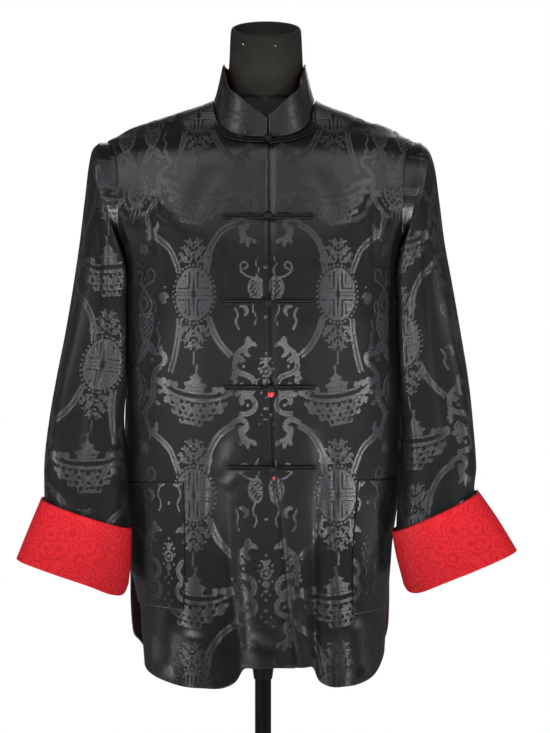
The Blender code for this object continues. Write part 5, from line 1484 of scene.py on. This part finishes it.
for side, sign, table, cuffTable in (("right", -1, sleeveRightRings, cuffRightRings),
                                     ("left", 1, sleeveLeftRings, cuffLeftRings)):
    headShares = np.linspace(0, sleeveCut["headKnots"][1], sleeveCut["headRows"] + 1)[:-1]
    head = readAlong(sleeveRings(table, sign, around, sleeveCut["headRings"]), sleeveCut["headKnots"],
                     headShares, 0)
    flat = np.zeros((len(head) + len(alongFine), len(around)))
    uv = tubeMap(sleeveSkin(table, sign, head, flat, 0.0), outer)
    creases = creaseDepth(uv[..., 0], -uv[..., 1], sleeveCreases[sign])
    skin = sleeveSkin(table, sign, head, creases, 0.0)
    rimTop = skin[0].copy()
    tuck = rimTop.mean(axis=0) - rimTop             # the seam allowance, under the body's edge
    tuck[:, 0] = 0
    rimTop += sleeveCut["allowance"][1] * tuck / np.linalg.norm(tuck, axis=1, keepdims=True)
    rimTop[:, 0] -= sign * sleeveCut["allowance"][0]
    rimLow = sleeveSkin(table, sign, head, creases, clothEdges["lining"])[-1]
    sleeve = addCloth("cloth_sleeve_" + side, np.concatenate([rimTop[None], skin, rimLow[None]], axis=0),
                      np.concatenate([uv[:1], uv, uv[-1:]], axis=0), "sleeve_" + side,
                      figure=sleeveCut["figure"][sign], weld=True)
    inner = sleeveSkin(table, sign, head, keptInside(creases), clothEdges["lining"])
    drop = uv[0, :, 1].mean() - uv[:, :, 1].mean(axis=1)
    r = everyNth(int(np.argmax(drop > sleeveCut["liningBelow"])), len(inner), 4)    # clear of the armhole
    c = everyNth(0, len(around), 4)
    sleeveLining = addCloth("lining_sleeve_" + side, inner[r][:, c], uv[r][:, c], inner=True, weld=True)

    # The cuff: the lining turned up outside
    cuffUv = tubeMap(sleevePoint(cuffTable, sign, *np.meshgrid(around, alongCuff))[::-1], outer)[::-1]
    lift = creaseDepth(cuffUv[..., 0], cuffUv[..., 1] - cuffUv[..., 1].min(), cuffCreases)
    r, deep = repeatEnds(len(alongCuff), clothEdges["cuff"])
    full = sleevePoint(cuffTable, sign, *np.meshgrid(around, alongCuff[r]), lift[r] - deep[:, None])
    cuff = addCloth("cloth_cuff_" + side, full, cuffUv[r], "cuff_" + side, weld=True)
    cuff.visible_glossy = False                         # its red isn't mirrored in the black satin
print("sleeves and cuffs made")


# Collar band and its red facing
def bandMap(points):
    # The collar's own map: u runs along its foot and v up the band.
    uv = np.zeros(points.shape[:2] + (2,))
    uv[:, 1:, 0] = np.cumsum(np.linalg.norm(np.diff(points[:1], axis=1), axis=-1), axis=1)
    uv[1:, :, 1] = np.cumsum(np.linalg.norm(np.diff(points, axis=0), axis=-1), axis=0)
    return uv


collarCut = {"neck": 64, "up": 26, "end": 0.0012, "foot": 0.0008, "middle": (hangX, 0.0, 1.38),
             "figure": (0.02, 0.10), "facingUp": 12, "facingFoot": 0.0012, "facingTop": 0.0006,
             "facingIn": clothThick + 0.0002}
neckColumns = np.linspace(0, neckShare, collarCut["neck"])[1:-1]
upShares = np.linspace(0, 1, collarCut["up"])
uv = bandMap(collarPoints(0.0, collarCut["foot"], 0.0, upShares))
r, rowDeep = [np.delete(line, (1, 2)) for line in repeatEnds(len(uv), clothEdges["collar"])]
c, columnDeep = repeatEnds(len(uv[0]), clothEdges["collar"])
depths = np.maximum(rowDeep[:, None], columnDeep)
band = np.zeros(depths.shape + (3,))
for depth in (0.0, *clothEdges["collar"]):
    layer = collarPoints(-depth, collarCut["foot"], 0.0, upShares)[r][:, c]
    band[depths == depth] = layer[depths == depth]
collar = addCloth("cloth_collar", band, uv[r][:, c], "collar", figure=collarCut["figure"],
                  middle=collarCut["middle"])
band = collarPoints(-collarCut["facingIn"], collarCut["facingFoot"], collarCut["facingTop"],
                    np.linspace(0, 1, collarCut["facingUp"]))
uv = bandMap(band)
facing = addCloth("lining_collar", band, uv, "collar_facing", middle=collarCut["middle"], inner=True)
print("collar made")

# Patch pockets
pocketCut = {"spacing": 0.0019, "size": (0.150, 0.165), "clear": 0.0002, "puff": 0.0009,
             "figures": ((0.128, -0.890), (-0.137, -0.890))}
for side, row, figure in zip(("right", "left"), pocketTable["rows"], pocketCut["figures"]):
    p = dict(zip(pocketTable["columns"], row))
    u, v = np.meshgrid(*[steps(length, pocketCut["spacing"]) for length in pocketCut["size"]])
    top = p["innerTopZ"] + (p["outerTopZ"] - p["innerTopZ"]) * u
    angle = p["inner"] + (p["outer"] - p["inner"]) * u
    z = p["lowZ"] + (top - p["lowZ"]) * v
    uv = bodyMap(angle, z, foldedBody(angle, z), len(z))
    under = creaseDepth(uv[..., 0], uv[..., 1], frontCreases)
    out = pocketThick + pocketCut["clear"] - tuckIn(angle, z) + under
    puff = (pocketCut["puff"] * np.sin(np.pi * u) ** 0.7
            * np.sin(np.pi * np.clip(v * 0.92 + 0.05, 0, 1)) ** 0.7)
    r, rowDeep = repeatEnds(len(z), clothEdges["pocket"])
    c, columnDeep = repeatEnds(len(z[0]), clothEdges["pocket"])
    depth = (out + puff)[r][:, c] - np.maximum(rowDeep[:, None], columnDeep)
    pocket = addCloth("cloth_pocket_" + side, foldedBody(angle[r][:, c], z[r][:, c], depth), uv[r][:, c],
                      "pocket_" + side, figure=figure, middle=bodyMiddle)
print("pockets made")

# Frogs: doubled satin cord with a loop end, and a knotted ball
frogs = {"cord": 0.0016, "reach": 0.053, "ball": 0.0055, "clear": 0.0003, "neckBelow": 0.0056,
         "heights": (1.3400, 1.2300, 1.1190, 1.0090, 0.9060), "loopEnd": 0.0030, "points": 27,
         "arms": (("loop", -1, 0.0072, "front_right"), ("knot", 1, 0.0042, "front_left")),
         "forward": (-0.0036, -0.0012), "ballCord": 0.00145, "wound": 0.0014, "core": 0.0012,
         "turns": ((90, 0), (35, 40), (35, 130), (68, 85), (68, 175)),
         "dots": ((3, 0.0080, 0.0040), (4, 0.0112, 0.0015)), "thread": 0.0007, "dotPoints": 48,
         "dotOut": 0.0034, "dotHigh": 0.0016}
strand = frogs["cord"] * 1.06       # from an arm's middle line to each of its two cords
trees = {}
for name in ("front_right", "front_left"):
    bm = bmesh.new()
    bm.from_mesh(shells[name].data)
    trees[name] = BVHTree.FromBMesh(bm)
    bm.free()


def frogLine(number, sign, near, panel):
    # Middle line of one arm of a frog on its panel, with the direction across it.
    z = frogs["heights"][number]
    centre = float(frontEdge(z))
    points, overs = [], []
    for share in np.linspace(0, 1, frogs["points"]):
        x = centre + sign * (near + (frogs["reach"] - near) * share)
        height = z
        if number == 0:
            angle = float(angleAt(np.array(x), 1.345))
            for _ in range(3):
                height = float(neckline(abs(angle))) - frogs["neckBelow"]
                angle = float(angleAt(np.array(x), height))
        angle = float(angleAt(np.array(x), height))
        top, base = Vector(foldedBody(angle, height, 0.02)), Vector(foldedBody(angle, height))
        over = (Vector(foldedBody(angle, height + 0.002)) - base).normalized()
        top.x, base.x = top.x + hangX, base.x + hangX
        inwards = (base - top).normalized()
        hits = [trees[panel].ray_cast(top + over * off, inwards)[3]
                for off in (-frogs["cord"] * 1.5, 0, frogs["cord"] * 1.5)]
        reach = min(hit for hit in hits if hit)
        points.append(top + inwards * (reach - frogs["cord"] - frogs["clear"]))
        overs.append(over)
    line = []
    for k, (point, over) in enumerate(zip(points, overs)):
        ahead = points[min(k + 1, len(points) - 1)] - points[max(k - 1, 0)]
        line.append((point, (over - over.project(ahead)).normalized()))
    return line


def addCord(name, paths, radius, finish, slotName, *nodes, closed=True):
    # Round cord along closed or open paths, as one piece.
    data = bpy.data.curves.new(name, "CURVE")
    data.dimensions = "3D"
    data.bevel_depth = radius
    data.bevel_resolution = 3
    data.use_fill_caps = True
    for path in paths:
        spline = data.splines.new("POLY")
        spline.points.add(len(path) - 1)
        spline.use_cyclic_u = closed
        for point, co in zip(spline.points, path):
            point.co = (*co, 1)
    helper = bpy.data.objects.new(name, data)
    scene.collection.objects.link(helper)
    mesh = bpy.data.meshes.new_from_object(helper)
    bpy.data.objects.remove(helper)
    bm = bmesh.new()
    bm.from_mesh(mesh)
    joinDoubles(bm)
    bm.to_mesh(mesh)
    bm.free()
    mesh.name = name
    addPiece(mesh, finish, slotName, *nodes)


for number, z in enumerate(frogs["heights"]):
    for part, sign, near, panel in frogs["arms"]:
        line = frogLine(number, sign, near, panel)
        if sign > 0:                                    # the knot's end stands forward
            for k, forward in enumerate(frogs["forward"]):
                line[k] = (line[k][0] + Vector((0, forward, 0)), line[k][1])
        (nearEnd, nearAcross), (farEnd, farAcross) = line[0], line[-1]
        path = [p + a * strand for p, a in line]
        way = (farEnd - line[-2][0]).normalized()
        for t in np.linspace(150, -150, 13)[1:-1]:
            swing = math.radians(t)
            path.append(farEnd + way * (strand * 0.9 + frogs["loopEnd"] * 0.7 * math.cos(swing))
                        + farAcross * (strand * 1.15 * math.sin(swing)))
        path += [p - a * strand for p, a in reversed(line)]
        way = (nearEnd - line[1][0]).normalized()
        for t in np.linspace(-90, 90, 7)[1:-1]:
            swing = math.radians(t)
            path.append(nearEnd + way * strand * 0.9 * math.cos(swing)
                        + nearAcross * strand * math.sin(swing))
        addCord(f"cord_{part}_{number + 1}", [path], frogs["cord"], cordSatin, "black_cord",
                f"frog_{part}_{number + 1}")
    # The ball, turns of cord over a core
    height = z if number else float(neckline(0.0)) - frogs["neckBelow"]
    standOff = 2 * frogs["cord"] + frogs["clear"] + frogs["ball"] * 0.78
    seat = Vector(foldedBody(float(angleAt(np.array(float(frontEdge(z))), height)), height, standOff))
    seat.x += hangX
    rings = []
    for tilt, swing in frogs["turns"]:
        tilt, swing = math.radians(tilt), math.radians(swing)
        axis = Vector((math.sin(tilt) * math.cos(swing), math.cos(tilt), math.sin(tilt) * math.sin(swing)))
        ring = []
        for t in np.linspace(0, 2 * math.pi, 25)[:-1]:
            place = Vector((math.cos(t), math.sin(t), 0)) * (frogs["ball"] - frogs["wound"])
            place.rotate(Vector((0, 0, 1)).rotation_difference(axis))
            ring.append(seat + place)
        rings.append(ring)
    addCord(f"knot_ball_{number + 1}", rings, frogs["ballCord"], cordSatin, "black_cord")
    bm = bmesh.new()
    bmesh.ops.create_icosphere(bm, subdivisions=3, radius=frogs["ball"] - frogs["core"])
    bmesh.ops.translate(bm, verts=bm.verts[:], vec=seat)
    addPiece(meshFrom(f"knot_core_{number + 1}", bm), cordSatin, "black_cord")
# Red thread wound flat below the last two knots
for number, drop, wide in frogs["dots"]:
    height = frogs["heights"][number] - drop
    edgeAngle = float(angleAt(np.array(float(frontEdge(height)) + 0.001), height))
    seat = Vector(foldedBody(edgeAngle, height, frogs["dotOut"]))
    seat.x += hangX
    wound = []
    for k in range(frogs["dotPoints"]):
        r, t = wide * (1 - k / 52), 0.45 * k
        wound.append(seat + Vector((r * math.cos(t), -frogs["dotHigh"] * (k / 47), 0.9 * r * math.sin(t))))
    addCord(f"thread_dot_{number + 1}", [wound], frogs["thread"], threadRed, "red_lining", closed=False)
print("frogs made")

# Dress form
formTable = {
    "columns": ("z", "width", "front", "back", "middle", "power", "slant", "side"),
    "rows": (
        (0.700, 0.060, 0.050, 0.050, 0.002, 2.0, 0.0, -0.004),
        (0.702, 0.118, 0.076, 0.082, 0.002, 2.1, 0.0, -0.004),
        (0.715, 0.136, 0.088, 0.094, 0.002, 2.2, 0.0, -0.004),
        (0.760, 0.148, 0.096, 0.099, 0.002, 2.2, 0.0, -0.004),
        (0.830, 0.152, 0.098, 0.100, 0.002, 2.2, 0.0, -0.004),
        (0.920, 0.136, 0.090, 0.088, 0.001, 2.2, 0.0, -0.004),
        (1.010, 0.118, 0.084, 0.076, 0.000, 2.2, 0.0, -0.004),
        (1.090, 0.132, 0.098, 0.086, 0.000, 2.2, 0.0, -0.004),
        (1.170, 0.152, 0.114, 0.096, 0.001, 2.3, 0.0, -0.004),
        (1.230, 0.170, 0.108, 0.098, 0.002, 2.4, 0.0, -0.004),
        (1.280, 0.182, 0.098, 0.096, 0.003, 2.3, 0.0, -0.005),
        (1.315, 0.186, 0.087, 0.090, 0.004, 2.0, 0.0, -0.006),
        (1.340, 0.181, 0.073, 0.083, 0.005, 1.8, 0.0, -0.0065),
        (1.352, 0.167, 0.0625, 0.078, 0.005, 1.7, 0.0, -0.0065),
        (1.3925, 0.0585, 0.0465, 0.0505, 0.0045, 1.85, 0.0, -0.0015),
        (1.405, 0.0545, 0.0475, 0.0510, 0.003, 2.0, 0.3, -0.0008),
        (1.440, 0.0505, 0.046, 0.0475, 0.001, 2.0, 0.6, 0.0),
        (1.470, 0.0490, 0.046, 0.048, -0.001, 2.0, 0.85, 0.0),
        (1.488, 0.0478, 0.046, 0.048, -0.003, 2.0, 1.0, 0.0),
        (1.4925, 0.0462, 0.0445, 0.0465, -0.003, 2.0, 1.0, 0.0),
        (1.4925, 0.0436, 0.0420, 0.0440, -0.003, 2.0, 1.0, 0.0),
        (1.488, 0.0422, 0.0405, 0.0425, -0.003, 2.0, 1.0, 0.0),
        (1.450, 0.0425, 0.0400, 0.0420, -0.001, 2.0, 0.6, 0.0),
        (1.415, 0.0415, 0.0385, 0.0410, 0.001, 2.0, 0.2, 0.0),
        (1.410, 0.0370, 0.0340, 0.0370, 0.001, 2.0, 0.1, 0.0),
    ),
    "shoulderRings": (1.3580, 1.3640, 1.3700, 1.3755), "below": 0.0044, "inside": 0.0076,
    "rimSlant": math.tan(math.radians(21.5)), "sides": 96,
}
turn = np.radians(np.arange(formTable["sides"]) * 360 / formTable["sides"])
shoulders = []
for z in formTable["shoulderRings"]:
    over = {name: float(body[name](z + formTable["below"])) for name in body}
    shoulders.append((z, (over["left"] + over["right"]) / 2, over["front"] - formTable["inside"],
                      over["back"] - formTable["inside"], over["middle"], over["power"], 0.0,
                      (over["right"] - over["left"]) / 2))
below = sum(row[0] < formTable["shoulderRings"][0] for row in formTable["rows"])
table = np.array(formTable["rows"][:below] + tuple(shoulders) + formTable["rows"][below:])
# rings between the table's own, closer where the form curves
spots = np.concatenate([[0], np.arange(1, 19, 0.25), np.arange(19, len(table) - 1, 0.34), [len(table) - 1]])
bm = bmesh.new()
loops = []
for row in readAlong(table, np.arange(len(table)), spots, 0):
    f = dict(zip(formTable["columns"], row))
    power = 2 / f["power"]
    across = np.sign(np.sin(turn)) * np.abs(np.sin(turn)) ** power
    fore = np.sign(np.cos(turn)) * np.abs(np.cos(turn)) ** power
    y = f["middle"] - np.where(fore > 0, f["front"], f["back"]) * fore
    x = f["side"] + f["width"] * across + hangX
    z = f["z"] + f["slant"] * formTable["rimSlant"] * (y - f["middle"])
    verts = [bm.verts.new(place) for place in zip(x, y, z)]
    loops.append([bm.edges.new(pair) for pair in zip(verts, verts[1:] + verts[:1])])
for low, high in zip(loops, loops[1:]):
    bmesh.ops.bridge_loops(bm, edges=low + high)
for ends in (loops[0], loops[-1]):
    bmesh.ops.edgeloop_fill(bm, edges=ends)
bmesh.ops.recalc_face_normals(bm, faces=bm.faces[:])
form = addPiece(meshFrom("form_cover", bm), formCover, "form_cover", "dress_form")

# Two pin heads on the neck
pins = {"radius": 0.0013, "places": ((-0.0265, 1.4650), (0.0165, 1.4615))}
bm = bmesh.new()
formSurface = BVHTree.FromObject(form, bpy.context.evaluated_depsgraph_get())
for x, z in pins["places"]:
    hit = formSurface.ray_cast(Vector((x, -0.3, z)), Vector((0, 1, 0)))[0]
    made = bmesh.ops.create_uvsphere(bm, u_segments=14, v_segments=8, radius=pins["radius"])
    bmesh.ops.translate(bm, verts=made["verts"], vec=hit)
addPiece(meshFrom("pin_heads", bm), pinSteel, "stand_metal")
print("form made")

# Socket, pole and base, turned about the pole's axis: radius and height along each profile
stand = {
    "stand_socket": ((0.0112, 0.6095), (0.0125, 0.6095), (0.0138, 0.6190), (0.0140, 0.6215), (0.0140, 0.6880),
                     (0.0136, 0.6996), (0.0, 0.6996)),
    "stand_pole": ((0.0, 0.0144), (0.0110, 0.0144), (0.0110, 0.6091), (0.0, 0.6091)),
    "stand_base": ((0.0, 0.0), (0.1690, 0.0), (0.1698, 0.0006), (0.1700, 0.0014), (0.1700, 0.0062),
                   (0.1694, 0.0076), (0.1670, 0.0090), (0.0600, 0.0110), (0.0200, 0.0140), (0.0, 0.0140)),
}
for name, profile in stand.items():
    bm = bmesh.new()
    verts = [bm.verts.new((r, 0, z)) for r, z in profile]
    edges = [bm.edges.new(pair) for pair in zip(verts, verts[1:])]
    bmesh.ops.spin(bm, geom=verts + edges, cent=(0, 0, 0), axis=(0, 0, 1), angle=2 * math.pi, steps=72,
                   use_merge=True)
    joinDoubles(bm)
    turned = addPiece(meshFrom(name + "_turned", bm), standMetal, "stand_metal", name)
    turned.data.set_sharp_from_angle(angle=math.radians(35))
print("stand made")

# Floor
bm = bmesh.new()
bmesh.ops.create_grid(bm, x_segments=2, y_segments=2, size=0.75)
mesh = meshFrom("floor", bm)
mesh.materials.append(paper)
floor = bpy.data.objects.new("floor", mesh)
scene.collection.objects.link(floor)
